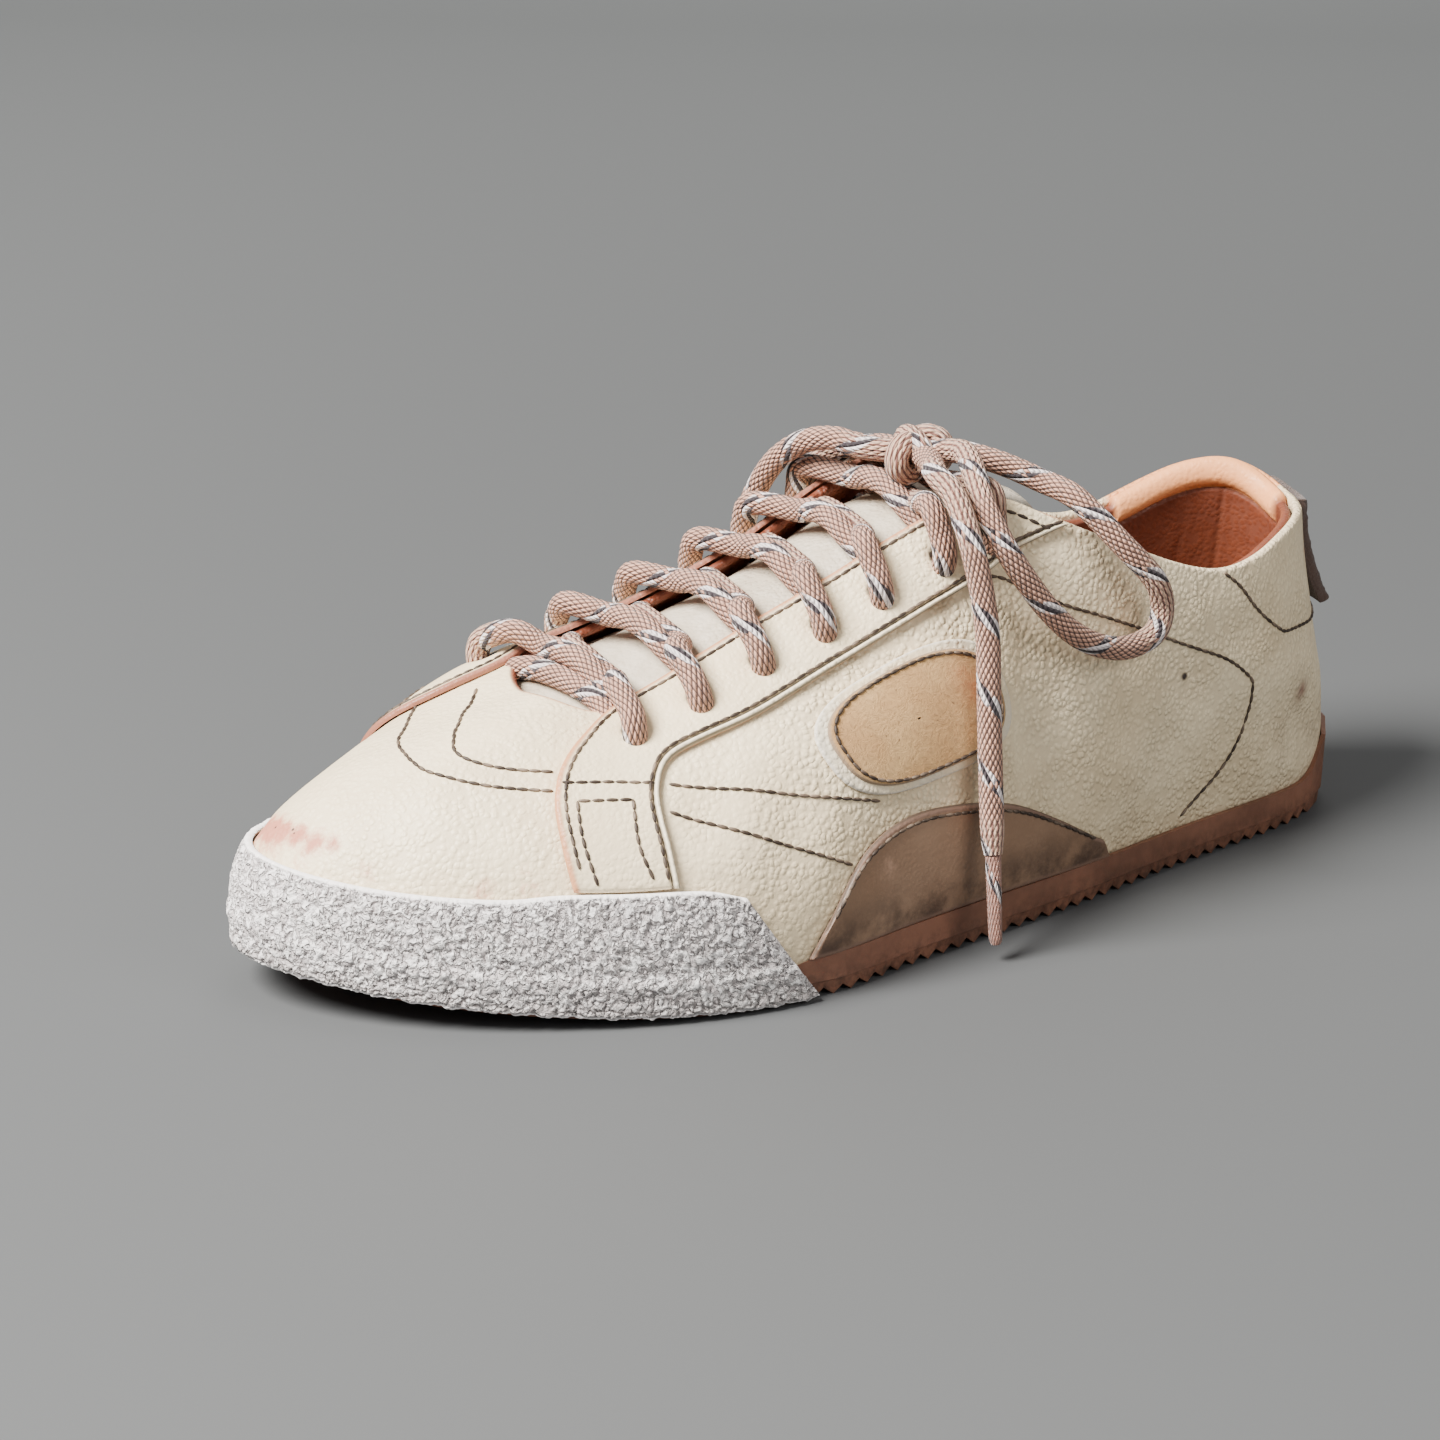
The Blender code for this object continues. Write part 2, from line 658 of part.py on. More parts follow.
def build_side_patch():
    """Plain rounded patch on the outer quarter."""
    turn = np.linspace(0.0, 2 * math.pi, 20, endpoint=False)[:, None]
    grow = np.array([0.12, 0.55, 1.0])[None, :]
    power = 0.75
    along = np.sign(np.cos(turn)) * np.abs(np.cos(turn)) ** power
    rise = np.sign(np.sin(turn)) * np.abs(np.sin(turn)) ** power
    u = SIDE_PATCH_MIDDLE[0] + SIDE_PATCH_REACH[0] * (along + 0.25 * rise) * grow
    h = SIDE_PATCH_MIDDLE[1] + SIDE_PATCH_REACH[1] * rise * grow
    outer = over(u, h, FIT + OVERLAY)
    inner = over(u, h, FIT)
    points = []
    for grid in (outer, inner):
        points.extend(grid.reshape(-1, 3))
        points.append(grid[:, 0].mean(axis=0))
    rows, cols = u.shape
    back = rows * cols + 1
    faces = []
    for i in range(rows):
        j = (i + 1) % rows
        for k in range(cols - 1):
            a, b = i * cols + k, j * cols + k
            faces.append((a, b, b + 1, a + 1))
            faces.append((back + a, back + a + 1, back + b + 1, back + b))
        a, b = i * cols, j * cols
        faces.append((rows * cols, b, a))
        faces.append((back + rows * cols, back + a, back + b))
        a, b = a + cols - 1, b + cols - 1
        faces.append((a, b, back + b, back + a))
    return place_mesh("side_patch", points, faces, material("patch_suede", TAN, 0.85))


def build_lining():
    u = np.linspace(-LINING_TO, LINING_TO, 34)[:, None]
    h = np.array([LINING_DEPTH, 0.63, 0.82, 1.0])[None, :]
    back = WALL + FIT
    return shell("collar_lining", over(u, h, -back), over(u, h, -back - LINING_THICK),
                 material("lining_leather", CLAY, 0.8))


def build_tab():
    u = np.linspace(-TAB_REACH, TAB_REACH, 5)[:, None]
    h = np.linspace(TAB_FROM, TAB_TO, 5)[None, :]
    away = FIT + TAB_FLARE * ((TAB_TO - h) / (TAB_TO - TAB_FROM)) ** 2
    return shell("heel_pull_tab", over(u, h, away + TAB_THICK), over(u, h, away),
                 material("tab_suede", BARK, 0.9))


def tongue_point(row, v, lift):
    """Point of the tongue's middle layer: row holds u, h and stand-off."""
    drop = -(WALL + FIT + TONGUE_THICK / 2)
    outer = over(row[0], row[1], drop)
    inner = over(ROUND - row[0], row[1], drop)
    middle = 0.5 * (top_edge(row[0]) + top_edge(ROUND - row[0]))
    middle = middle + np.array([-row[3] * LENGTH, 0.0, row[2] * INSTEP])
    return outer * v * (v - 1) / 2 + middle * (1 - v * v) + inner * v * (v + 1) / 2 + lift


def build_tongue():
    rows = route(TONGUE, 12)
    across = np.linspace(-1.0, 1.0, 7)
    grid = np.array([[tongue_point(row, v, 0.0) for v in across] for row in rows])
    step = grid[-1] - grid[-2]
    step = step / np.linalg.norm(step, axis=-1, keepdims=True)
    tip = grid[-1] + step * TONGUE_TIP * (1 - 0.75 * across[:, None] ** 2)
    grid = np.concatenate([grid, tip[None]])
    along = np.gradient(grid, axis=0)
    sideways = np.gradient(grid, axis=1)
    normal = np.cross(sideways, along)
    normal = normal / np.linalg.norm(normal, axis=-1, keepdims=True)
    normal = normal * np.sign(normal[..., 2:3])
    half = normal * TONGUE_THICK / 2
    return shell("tongue", grid + half, grid - half, material("tongue_leather", CREAM, 0.7))


def tube_mesh(name, points, finish, sides=6):
    """Round bar of lace through points, closed at both ends."""
    points = np.array(points)
    along = np.gradient(points, axis=0)
    along = along / np.linalg.norm(along, axis=1, keepdims=True)
    up = np.array([0.0, 0.0, 1.0])
    turn = np.linspace(0.0, 2 * math.pi, sides, endpoint=False)
    rings = []
    for point, way in zip(points, along):
        flat = np.cross(up, way)
        flat = flat / np.linalg.norm(flat)
        tall = np.cross(way, flat)
        rings.append([point + LACE / 2 * (math.cos(a) * flat + math.sin(a) * tall) for a in turn])
    faces = []
    for i in range(len(rings) - 1):
        for k in range(sides):
            m = (k + 1) % sides
            faces.append((i * sides + k, i * sides + m, (i + 1) * sides + m, (i + 1) * sides + k))
    faces.append(tuple(range(sides)))
    faces.append(tuple(range((len(rings) - 1) * sides, len(rings) * sides)))
    return place_mesh(name, np.array(rings).reshape(-1, 3), faces, finish)


def lace_floor(u, v, lift):
    """Middle of a lace on the tongue at station u, v across the throat."""
    row = np.array([np.interp(-u, [-r[0] for r in TONGUE], [r[k] for r in TONGUE])
                    for k in range(4)])
    up = TONGUE_THICK / 2 + 2 * CLEARANCE + LACE / 2 + lift * LACE
    return tongue_point(row, v, np.array([0.0, 0.0, up]))


def lace_start(u, h, from_inner):
    """First points of a lace that comes up through an eyelet and over the edge."""
    rest = FIT + OVERLAY + 2 * CLEARANCE + LACE / 2
    around = ROUND - u if from_inner else u
    return [over(around, h, rest), over(around, 1.0, rest + EDGE_HUMP * LACE)]


def strand(number, from_inner):
    """Lace from one eyelet over the throat toward the next eyelet across."""
    u, h = EYELETS[number]
    span = EYELETS[number + 1][0] - u
    points = lace_start(u, h, from_inner)
    for v, low, high in STRAND:
        if from_inner:
            points.append(lace_floor(u + span * OVER_DRIFT, -v, high))
        else:
            points.append(lace_floor(u + span * UNDER_DRIFT * (0.6 + 0.4 * v), v, low))
    return route(points, 10)


def build_crossings():
    """Front bar, the crossing after each pair of eyelets and the top strand."""
    finish = material("lace_cord", DUSTY, 0.85)
    u, h = EYELETS[0]
    bar = [lace_floor(u + 0.15, v, 0.0) for v in np.linspace(-STRAND[-1][0], STRAND[-1][0], 5)]
    extra = [tube_mesh("front_bar", bar, finish)]
    for number in range(len(EYELETS) - 1):
        body = tube_mesh(f"lace_crossing_{number + 1}", strand(number, False), finish)
        extra.append(tube_mesh(f"over_strand_{number + 1}", strand(number, True), finish))
        for piece in extra:
            piece.hide_render = True
            piece.display_type = "WIRE"
            join = body.modifiers.new(piece.name, "BOOLEAN")
            join.operation = "UNION"
            join.solver = "EXACT"
            join.object = piece
        extra = []
    u, h = EYELETS[-1]
    outer = lace_start(u, h, False)
    inner = lace_start(u, h, True)
    middle = [lace_floor(u, v, TOP_STRAND_LIFT) for v in (-0.3, 0.0, 0.3)]
    tube_mesh("lace_top_strand", route(outer + middle + inner[::-1], 16), finish)


def build_cord(name, points, finish):
    """Free lace drawn as a curve with a round bevel and filled ends."""
    length = np.linalg.norm(np.diff(np.array(points), axis=0), axis=1).sum()
    line = route(points, max(8, int(length / (2.4 * LACE))))
    curve = bpy.data.curves.new(name, "CURVE")
    curve.dimensions = "3D"
    curve.bevel_depth = LACE / 2
    curve.bevel_resolution = 2
    curve.use_fill_caps = True
    spline = curve.splines.new("POLY")
    spline.points.add(len(line) - 1)
    for point, place in zip(spline.points, line):
        point.co = (*place, 1.0)
    curve.materials.append(finish)
    made = bpy.data.objects.new(name, curve)
    bpy.context.scene.collection.objects.link(made)
    return line


def build_tip(name, line, finish):
    """Stiff tip past the end of a hanging lace."""
    end = Vector(line[-1])
    way = (end - Vector(line[-3])).normalized()
    work = bmesh.new()
    bmesh.ops.create_cone(work, cap_ends=True, segments=8, radius1=TIP_WIDTH / 2,
                          radius2=0.42 * TIP_WIDTH, depth=TIP_LENGTH)
    mesh = bpy.data.meshes.new(name)
    work.to_mesh(mesh)
    work.free()
    mesh.shade_smooth()
    mesh.set_sharp_from_angle(angle=math.radians(50.0))
    mesh.materials.append(finish)
    made = bpy.data.objects.new(name, mesh)
    made.location = end + way * (CLEARANCE + TIP_LENGTH / 2)
    made.rotation_mode = "QUATERNION"
    made.rotation_quaternion = way.to_track_quat("Z", "X")
    bpy.context.scene.collection.objects.link(made)


def build_bow():
    finish = material("bow_cord", DUSTY, 0.85)
    tip = material("lace_tip_plastic", DUSTY, 0.5)
    work = bmesh.new()
    bmesh.ops.create_uvsphere(work, u_segments=12, v_segments=8, radius=0.5)
    bmesh.ops.scale(work, vec=KNOT_SIZE, verts=work.verts)
    mesh = bpy.data.meshes.new("lace_knot")
    work.to_mesh(mesh)
    work.free()
    mesh.shade_smooth()
    mesh.materials.append(finish)
    knot = bpy.data.objects.new("lace_knot", mesh)
    knot.location = KNOT_PLACE
    bpy.context.scene.collection.objects.link(knot)
    build_cord("lace_loop_outer_side", LOOP_OUTER, finish)
    build_cord("lace_loop_inner_side", LOOP_INNER, finish)
    build_tip("lace_tip_outer_side", build_cord("lace_end_outer_side", END_OUTER, finish), tip)
    build_tip("lace_tip_inner_side", build_cord("lace_end_inner_side", END_INNER, finish), tip)


def main():
    for old in list(bpy.data.objects):
        bpy.data.objects.remove(old, do_unlink=True)
    build_outsole()
    build_insole()
    upper = build_upper()
    build_eyestays(upper)
    build_bumper()
    build_arch_patch()
    build_side_patch()
    build_lining()
    build_tab()
    build_tongue()
    build_crossings()
    build_bow()


main()
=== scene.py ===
import json
import math
import bmesh
import bpy
import numpy as np
from mathutils import Matrix, Vector, noise

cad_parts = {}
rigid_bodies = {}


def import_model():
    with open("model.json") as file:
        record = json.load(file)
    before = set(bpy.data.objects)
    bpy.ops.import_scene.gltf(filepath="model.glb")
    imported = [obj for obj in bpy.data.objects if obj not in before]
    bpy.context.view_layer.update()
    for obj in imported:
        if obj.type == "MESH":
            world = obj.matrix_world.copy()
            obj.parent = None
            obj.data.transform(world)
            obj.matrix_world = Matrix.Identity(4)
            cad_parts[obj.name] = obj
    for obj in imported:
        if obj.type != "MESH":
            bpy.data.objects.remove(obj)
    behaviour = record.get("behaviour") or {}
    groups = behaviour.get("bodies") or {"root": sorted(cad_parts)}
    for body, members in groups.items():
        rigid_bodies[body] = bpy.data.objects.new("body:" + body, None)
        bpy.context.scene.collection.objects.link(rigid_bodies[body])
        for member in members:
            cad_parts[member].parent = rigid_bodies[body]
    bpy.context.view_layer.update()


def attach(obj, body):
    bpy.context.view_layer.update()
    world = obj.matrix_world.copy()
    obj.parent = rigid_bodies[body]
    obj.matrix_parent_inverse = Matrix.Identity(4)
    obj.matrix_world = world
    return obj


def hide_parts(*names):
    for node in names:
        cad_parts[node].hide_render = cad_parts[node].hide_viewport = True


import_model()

# the last's own sizes, in metres
last = {"length": 0.286, "ballWidth": 0.098, "instep": 0.094, "heelHeight": 0.078,
        "wall": 0.0022, "footbed": 0.0062, "toeSpring": 0.009, "seat": 0.0005,
        "overlay": 0.0012, "gap": 0.0003, "lace": 0.0055}
# stations round the foot from the middle of the heel: x and y of the lower edge, x and y of the top edge,
# and its height, all as shares of the sizes above
sections = [
    (0.007, 0.026, 0.038, -0.005, 0.0, 0.985), (0.031, -0.153, 0.062, -0.148, 0.0, 0.968),
    (0.103, -0.262, 0.119, -0.262, 0.0, 0.949), (0.196, -0.306, 0.198, -0.321, 0.0, 0.91),
    (0.29, -0.352, 0.281, -0.321, 0.1, 0.886), (0.365, -0.393, 0.36, -0.301, 0.82, 0.15),
    (0.428, -0.418, 0.411, -0.214, 1.0, 0.0), (0.5, -0.444, 0.474, -0.184, 0.973, 0.0),
    (0.57, -0.474, 0.544, -0.148, 0.872, 0.0), (0.64, -0.505, 0.61, -0.117, 0.782, 0.0),
    (0.706, -0.49, 0.666, -0.092, 0.702, 0.0), (0.773, -0.434, 0.712, -0.071, 0.638, 0.0),
    (0.839, -0.342, 0.74, -0.051, 0.612, 0.0), (0.904, -0.219, 0.757, -0.012, 0.622, 0.0),
    (0.956, -0.071, 0.767, 0.033, 0.633, 0.0), (0.993, 0.112, 0.772, 0.084, 0.633, 0.0),
    (0.988, 0.286, 0.769, 0.138, 0.622, 0.0), (0.937, 0.403, 0.764, 0.194, 0.625, 0.0),
    (0.862, 0.469, 0.752, 0.25, 0.64, 0.0), (0.785, 0.495, 0.727, 0.281, 0.665, 0.0),
    (0.708, 0.485, 0.68, 0.265, 0.702, 0.0), (0.638, 0.444, 0.615, 0.24, 0.766, 0.0),
    (0.57, 0.388, 0.545, 0.214, 0.855, 0.0), (0.5, 0.337, 0.472, 0.219, 0.957, 0.0),
    (0.43, 0.306, 0.409, 0.235, 1.0, 0.0), (0.367, 0.296, 0.358, 0.301, 0.82, 0.15),
    (0.29, 0.306, 0.281, 0.306, 0.1, 0.892), (0.196, 0.332, 0.196, 0.291, 0.0, 0.905),
    (0.101, 0.316, 0.108, 0.241, 0.0, 1.008), (0.031, 0.198, 0.052, 0.133, 0.0, 1.042)]
# how far the wall leans out and up at its foot, and out and down at its top
leans = [
    (0.035, 0.30, 0.00, 0.26), (0.035, 0.30, 0.01, 0.26), (0.035, 0.29, 0.04, 0.26),
    (0.03, 0.28, 0.05, 0.25), (0.03, 0.28, 0.06, 0.25), (0.03, 0.30, 0.10, 0.26),
    (0.03, 0.32, 0.17, 0.24), (0.03, 0.32, 0.22, 0.22), (0.03, 0.31, 0.25, 0.19),
    (0.04, 0.30, 0.27, 0.16), (0.04, 0.29, 0.28, 0.13), (0.04, 0.28, 0.27, 0.10),
    (0.04, 0.27, 0.26, 0.07), (0.04, 0.27, 0.28, 0.06), (0.05, 0.27, 0.31, 0.06),
    (0.055, 0.27, 0.32, 0.06), (0.07, 0.27, 0.30, 0.06), (0.055, 0.28, 0.28, 0.05),
    (0.04, 0.29, 0.28, 0.05), (0.035, 0.30, 0.27, 0.08), (0.035, 0.29, 0.26, 0.13),
    (0.035, 0.30, 0.25, 0.16), (0.04, 0.31, 0.22, 0.19), (0.04, 0.32, 0.18, 0.22),
    (0.04, 0.32, 0.13, 0.24), (0.04, 0.30, 0.08, 0.26), (0.04, 0.28, 0.05, 0.25),
    (0.035, 0.28, 0.04, 0.25), (0.035, 0.29, 0.03, 0.26), (0.035, 0.30, 0.01, 0.26)]
around = len(sections)  # u runs from 0 to this round the foot, and h from 0 to 1 up the skin


# smooth closed curve through the rows of a table
def closedSpline(table):
    rows = np.array(table, dtype=float)
    count = len(rows)
    matrix = 4.0 * np.eye(count)
    for i in range(count):
        matrix[i, (i - 1) % count] = 1.0
        matrix[i, (i + 1) % count] = 1.0
    slopes = np.linalg.solve(matrix, 3.0 * (np.roll(rows, -1, axis=0) - np.roll(rows, 1, axis=0)))

    def value(u):
        u = np.asarray(u, dtype=float)
        low = np.floor(u).astype(int)
        f = (u - low)[..., None]
        i = low % count
        j = (i + 1) % count
        return ((2 * f**3 - 3 * f**2 + 1) * rows[i] + (f**3 - 2 * f**2 + f) * slopes[i]
                + (3 * f**2 - 2 * f**3) * rows[j] + (f**3 - f**2) * slopes[j])
    return value


sectionAt = closedSpline(sections)
leanAt = closedSpline(leans)


# rise of the toe off the floor
def ground(x):
    share = 0.5 - np.asarray(x) / last["length"]
    return last["toeSpring"] * np.clip((share - 0.68) / 0.32, 0.0, None) ** 2


# lower edge of the skin, where it meets the sole
def feather(u):
    row = sectionAt(u)
    x = (0.5 - row[..., 0]) * last["length"]
    return np.stack([x, row[..., 1] * last["ballWidth"], last["footbed"] + ground(x)], -1)


# collar and throat line
def topEdge(u):
    row = sectionAt(u)
    height = row[..., 4] * last["instep"] + row[..., 5] * last["heelHeight"]
    return np.stack([(0.5 - row[..., 2]) * last["length"], row[..., 3] * last["ballWidth"], height], -1)


def outward(line, u):
    along = line(u + 0.02) - line(u - 0.02)
    across = np.stack([-along[..., 1], along[..., 0], np.zeros(along.shape[:-1])], -1)
    return across / np.linalg.norm(across, axis=-1, keepdims=True)


# point on the last's skin
def skin(u, h):
    u, h = np.broadcast_arrays(np.asarray(u, dtype=float), np.asarray(h, dtype=float))
    h = h[..., None]
    low = feather(u)
    high = topEdge(u)
    ends = leanAt(u) * last["instep"]
    up = np.array([0.0, 0.0, 1.0])
    lowOut = low + ends[..., 0:1] * outward(feather, u) + ends[..., 1:2] * up
    highOut = high + ends[..., 2:3] * outward(topEdge, u) - ends[..., 3:4] * up
    return (low * (1 - h)**3 + 3 * lowOut * h * (1 - h)**2
            + 3 * highOut * h**2 * (1 - h) + high * h**3)


def skinNormal(u, h):
    u, h = np.broadcast_arrays(np.asarray(u, dtype=float), np.asarray(h, dtype=float))
    roundWay = skin(u + 0.02, h) - skin(u - 0.02, h)
    upWay = skin(u, np.minimum(h + 0.01, 1.0)) - skin(u, np.maximum(h - 0.01, 0.0))
    normal = np.cross(upWay, roundWay)
    return normal / np.linalg.norm(normal, axis=-1, keepdims=True)


# h at a height in metres above the lower edge's own floor
def heightShare(u, height):
    u, height = np.broadcast_arrays(np.asarray(u, dtype=float), np.asarray(height, dtype=float))
    steps = np.linspace(0.0, 1.0, 61)
    flatU = u.reshape(-1)
    lines = skin(flatU[:, None], steps[None, :])
    lift = np.maximum.accumulate(lines[..., 2] - ground(lines[:, :1, 0]), axis=1)
    found = [np.interp(value, row, steps) for value, row in zip(height.reshape(-1), lift)]
    return np.array(found).reshape(u.shape)


# heightShare on a coarse net, read between its points
def coarseShare(u, height):
    rows = np.unique(np.append(np.arange(0, u.shape[0], 8), u.shape[0] - 1))
    cols = np.unique(np.append(np.arange(0, u.shape[1], 3), u.shape[1] - 1))
    net = heightShare(u[np.ix_(rows, cols)], height[np.ix_(rows, cols)])
    wide = np.stack([np.interp(np.arange(u.shape[0]), rows, net[:, k]) for k in range(len(cols))], -1)
    return np.stack([np.interp(np.arange(u.shape[1]), cols, row) for row in wide])


# point that stands off the skin by out
def over(u, h, out):
    u, h, out = np.broadcast_arrays(u, h, out)
    return skin(u, h) + skinNormal(u, h) * out[..., None]


# smooth open curve through the points, read at even steps
def route(points, count):
    rows = np.array(points, dtype=float)
    padded = np.vstack([2 * rows[0] - rows[1], rows, 2 * rows[-1] - rows[-2]])
    line = []
    for place in np.linspace(0.0, len(rows) - 1.0, 16 * len(rows)):
        i = min(int(place), len(rows) - 2)
        f = place - i
        a, b, c, d = padded[i:i + 4]
        line.append(0.5 * (2 * b + (c - a) * f + (2 * a - 5 * b + 4 * c - d) * f**2
                           + (3 * b - a - 3 * c + d) * f**3))
    line = np.array(line)
    gone = np.concatenate([[0.0], np.cumsum(np.linalg.norm(np.diff(line, axis=0), axis=1))])
    marks = np.linspace(0.0, gone[-1], count)
    return np.stack([np.interp(marks, gone, line[:, k]) for k in range(line.shape[1])], -1)


def ease(value, low, high):
    f = np.clip((value - low) / (high - low), 0.0, 1.0)
    return f * f * (3.0 - 2.0 * f)


# smooth noise from -1 to 1 at a size in metres, for an array of points
def grainNoise(points, size, octaves=3):
    flat = points.reshape(-1, 3) / size
    out = np.array([noise.fractal(Vector(p), 1.0, 2.0, octaves) for p in flat])
    return out.reshape(points.shape[:-1])


# colours and shader nodes
def tone(hexValue):
    parts = [int(hexValue[i:i + 2], 16) / 255.0 for i in (1, 3, 5)]
    return [p / 12.92 if p <= 0.04045 else ((p + 0.055) / 1.055) ** 2.4 for p in parts] + [1.0]


# adds one node: its settings, then its inputs by name or place; a socket is linked, a hex colour made linear
def addNode(tree, kind, settings=None, inputs=None, output=0):
    node = tree.nodes.new(kind)
    for key, value in (settings or {}).items():
        setattr(node, key, value)
    for key, value in (inputs or {}).items():
        if hasattr(value, "links"):
            tree.links.new(value, node.inputs[key])
        elif isinstance(value, str) and value.startswith("#"):
            node.inputs[key].default_value = tone(value)
        else:
            node.inputs[key].default_value = value
    return node.outputs[output] if len(node.outputs) else node


def newMaterial(name, roughness=0.6):
    material = bpy.data.materials.new(name)
    material.use_nodes = True
    tree = material.node_tree
    shader = tree.nodes["Principled BSDF"]
    shader.inputs["Roughness"].default_value = roughness
    return material, tree, shader


# settings that the materials share
mixing = {"data_type": "RGBA"}
easing = {"interpolation_type": "SMOOTHSTEP"}
adding, taking, timing, dividing = ({"operation": word} for word in ("ADD", "SUBTRACT", "MULTIPLY", "DIVIDE"))


# full-grain cowhide, drum-dyed cream: small round pebbles with painted shade in the creases between
# them, a dull sheen, pink flesh where the finish is scraped off, a grey-brown layer that is dirt in places
# and painted shade in the folds; pebbles of 1.1 to 1.4 mm, pores of 0.5 mm drawn coarser than real ones so
# that they show
def creamLeather(name, leather, pinholes=()):
    material, tree, shader = newMaterial(name, leather["roughness"])
    place = addNode(tree, "ShaderNodeTexCoord", None, None, "Object")
    cloud = addNode(tree, "ShaderNodeTexNoise", None, {"Vector": place, "Scale": 1 / 0.030, "Detail": 5.0})
    warp = addNode(tree, "ShaderNodeTexNoise", None, {
        "Vector": place, "Scale": 1 / 0.005, "Detail": 2.0}, "Color")
    bent = addNode(tree, "ShaderNodeVectorMath", {"operation": "MULTIPLY_ADD"}, {
        0: warp, 1: (0.0016,) * 3, 2: place})
    pebble = addNode(tree, "ShaderNodeTexVoronoi", None, {
        "Vector": bent, "Scale": 1 / leather["pebble"], "Randomness": 1.0})
    dome = addNode(tree, "ShaderNodeMapRange", easing, {0: pebble, 1: 0.18, 2: 0.72, 3: 1.0, 4: 0.0})
    length = addNode(tree, "ShaderNodeSeparateXYZ", None, {0: place}, "X")
    drawn = addNode(tree, "ShaderNodeMapRange", easing, {
        0: length, 1: -0.050, 2: -0.018, 3: leather["toeGrain"], 4: 1.0})
    pore = addNode(tree, "ShaderNodeTexNoise", None, {"Vector": place, "Scale": 1 / 0.0005, "Detail": 3.0})
    patchy = addNode(tree, "ShaderNodeTexNoise", None, {"Vector": place, "Scale": 1 / 0.012, "Detail": 2.0})
    depth = addNode(tree, "ShaderNodeMapRange", easing, {0: patchy, 1: 0.36, 2: 0.60, 3: 0.55, 4: 1.0})
    # the low ground between the pebbles: the bump sinks it, and the crease colour paints shade into it
    valley = addNode(tree, "ShaderNodeMath", taking, {0: 1.0, 1: dome})
    for share in (depth, drawn):
        valley = addNode(tree, "ShaderNodeMath", timing, {0: valley, 1: share})
    crease = addNode(tree, "ShaderNodeMath", timing, {0: valley, 1: leather["valley"]})
    # the layer of dirt and painted shade lies in clouds, and a scrape takes the finish off in streaks
    blotches = addNode(tree, "ShaderNodeTexNoise", None, {
        "Vector": place, "Scale": 1 / 0.009, "Detail": 6.0, "Roughness": 0.65})
    dirtAndShade = addNode(tree, "ShaderNodeMath", timing, {
        0: addNode(tree, "ShaderNodeAttribute", {"attribute_name": "dirtAndShade"}, None, "Fac"),
        1: addNode(tree, "ShaderNodeMapRange", easing, {0: blotches, 1: 0.30, 2: 0.66})})
    fine = addNode(tree, "ShaderNodeTexNoise", None, {
        "Vector": place, "Scale": 1 / 0.0022, "Detail": 8.0, "Roughness": 0.75})
    scuff = addNode(tree, "ShaderNodeAttribute", {"attribute_name": "scuff"}, None, "Fac")
    worn = addNode(tree, "ShaderNodeMath", {"operation": "MULTIPLY_ADD"}, {0: fine, 1: 1.1, 2: scuff})
    scrape = addNode(tree, "ShaderNodeMath", timing, {
        0: addNode(tree, "ShaderNodeMapRange", easing, {0: worn, 1: 0.80, 2: 1.35}),
        1: addNode(tree, "ShaderNodeMapRange", easing, {0: scuff, 1: 0.02, 2: 0.4})})
    base = addNode(tree, "ShaderNodeMix", mixing, {
        0: addNode(tree, "ShaderNodeMapRange", easing, {0: cloud, 1: 0.35, 2: 0.65}),
        6: leather["light"], 7: leather["shade"]}, 2)
    # the crease layer is painted shade in the grain's valleys; the dirt layer is dirt in places and painted
    # shade in the folds
    layers = [(crease, leather["crease"]), (dirtAndShade, leather["dirtAndShade"]), (scrape, leather["flesh"])]
    # the groove and hole marks are painted shade in grooves, at the foot of cut edges and in eyelet holes;
    # stain, raw edges, the lining side and the band are the leather's own colours
    for key, colour in (
            ("stain", leather["stain"]), ("edge", leather["rawEdge"]), ("cutEdge", leather["cutEdge"]),
            ("grooveShade", "#4d4238"), ("inside", leather["inside"]), ("band", leather["band"]),
            ("holeShade", "#2a2019")):
        layers.append((addNode(tree, "ShaderNodeAttribute", {"attribute_name": key}, None, "Fac"), colour))
    # each pinhole is painted as a dark dot, standing for the shade inside it
    for spot, size in pinholes:
        away = addNode(tree, "ShaderNodeVectorMath", {"operation": "DISTANCE"}, {
            0: place, 1: tuple(map(float, spot))}, "Value")
        layers.append((addNode(tree, "ShaderNodeMapRange", easing, {
            0: away, 1: size * 0.6, 2: size * 1.3, 3: 1.0, 4: 0.0}), "#33261f"))
    for share, colour in layers:
        base = addNode(tree, "ShaderNodeMix", mixing, {0: share, 6: base, 7: colour}, 2)
    tree.links.new(base, shader.inputs["Base Color"])
    sunk = addNode(tree, "ShaderNodeMath", timing, {0: valley, 1: -1.0})
    relief = addNode(tree, "ShaderNodeMath", {"operation": "MULTIPLY_ADD"}, {0: pore, 1: 0.2, 2: sunk})
    bump = addNode(tree, "ShaderNodeBump", None, {
        "Height": relief, "Strength": leather["bump"], "Distance": 0.00036})
    tree.links.new(bump, shader.inputs["Normal"])
    dull = addNode(tree, "ShaderNodeMath", adding, {0: valley, 1: scrape})
    gloss = addNode(tree, "ShaderNodeMapRange", easing, {
        0: dull, 1: 0.0, 2: 1.0, 3: leather["roughness"] - 0.06, 4: leather["roughness"] + 0.16})
    tree.links.new(gloss, shader.inputs["Roughness"])
    return material
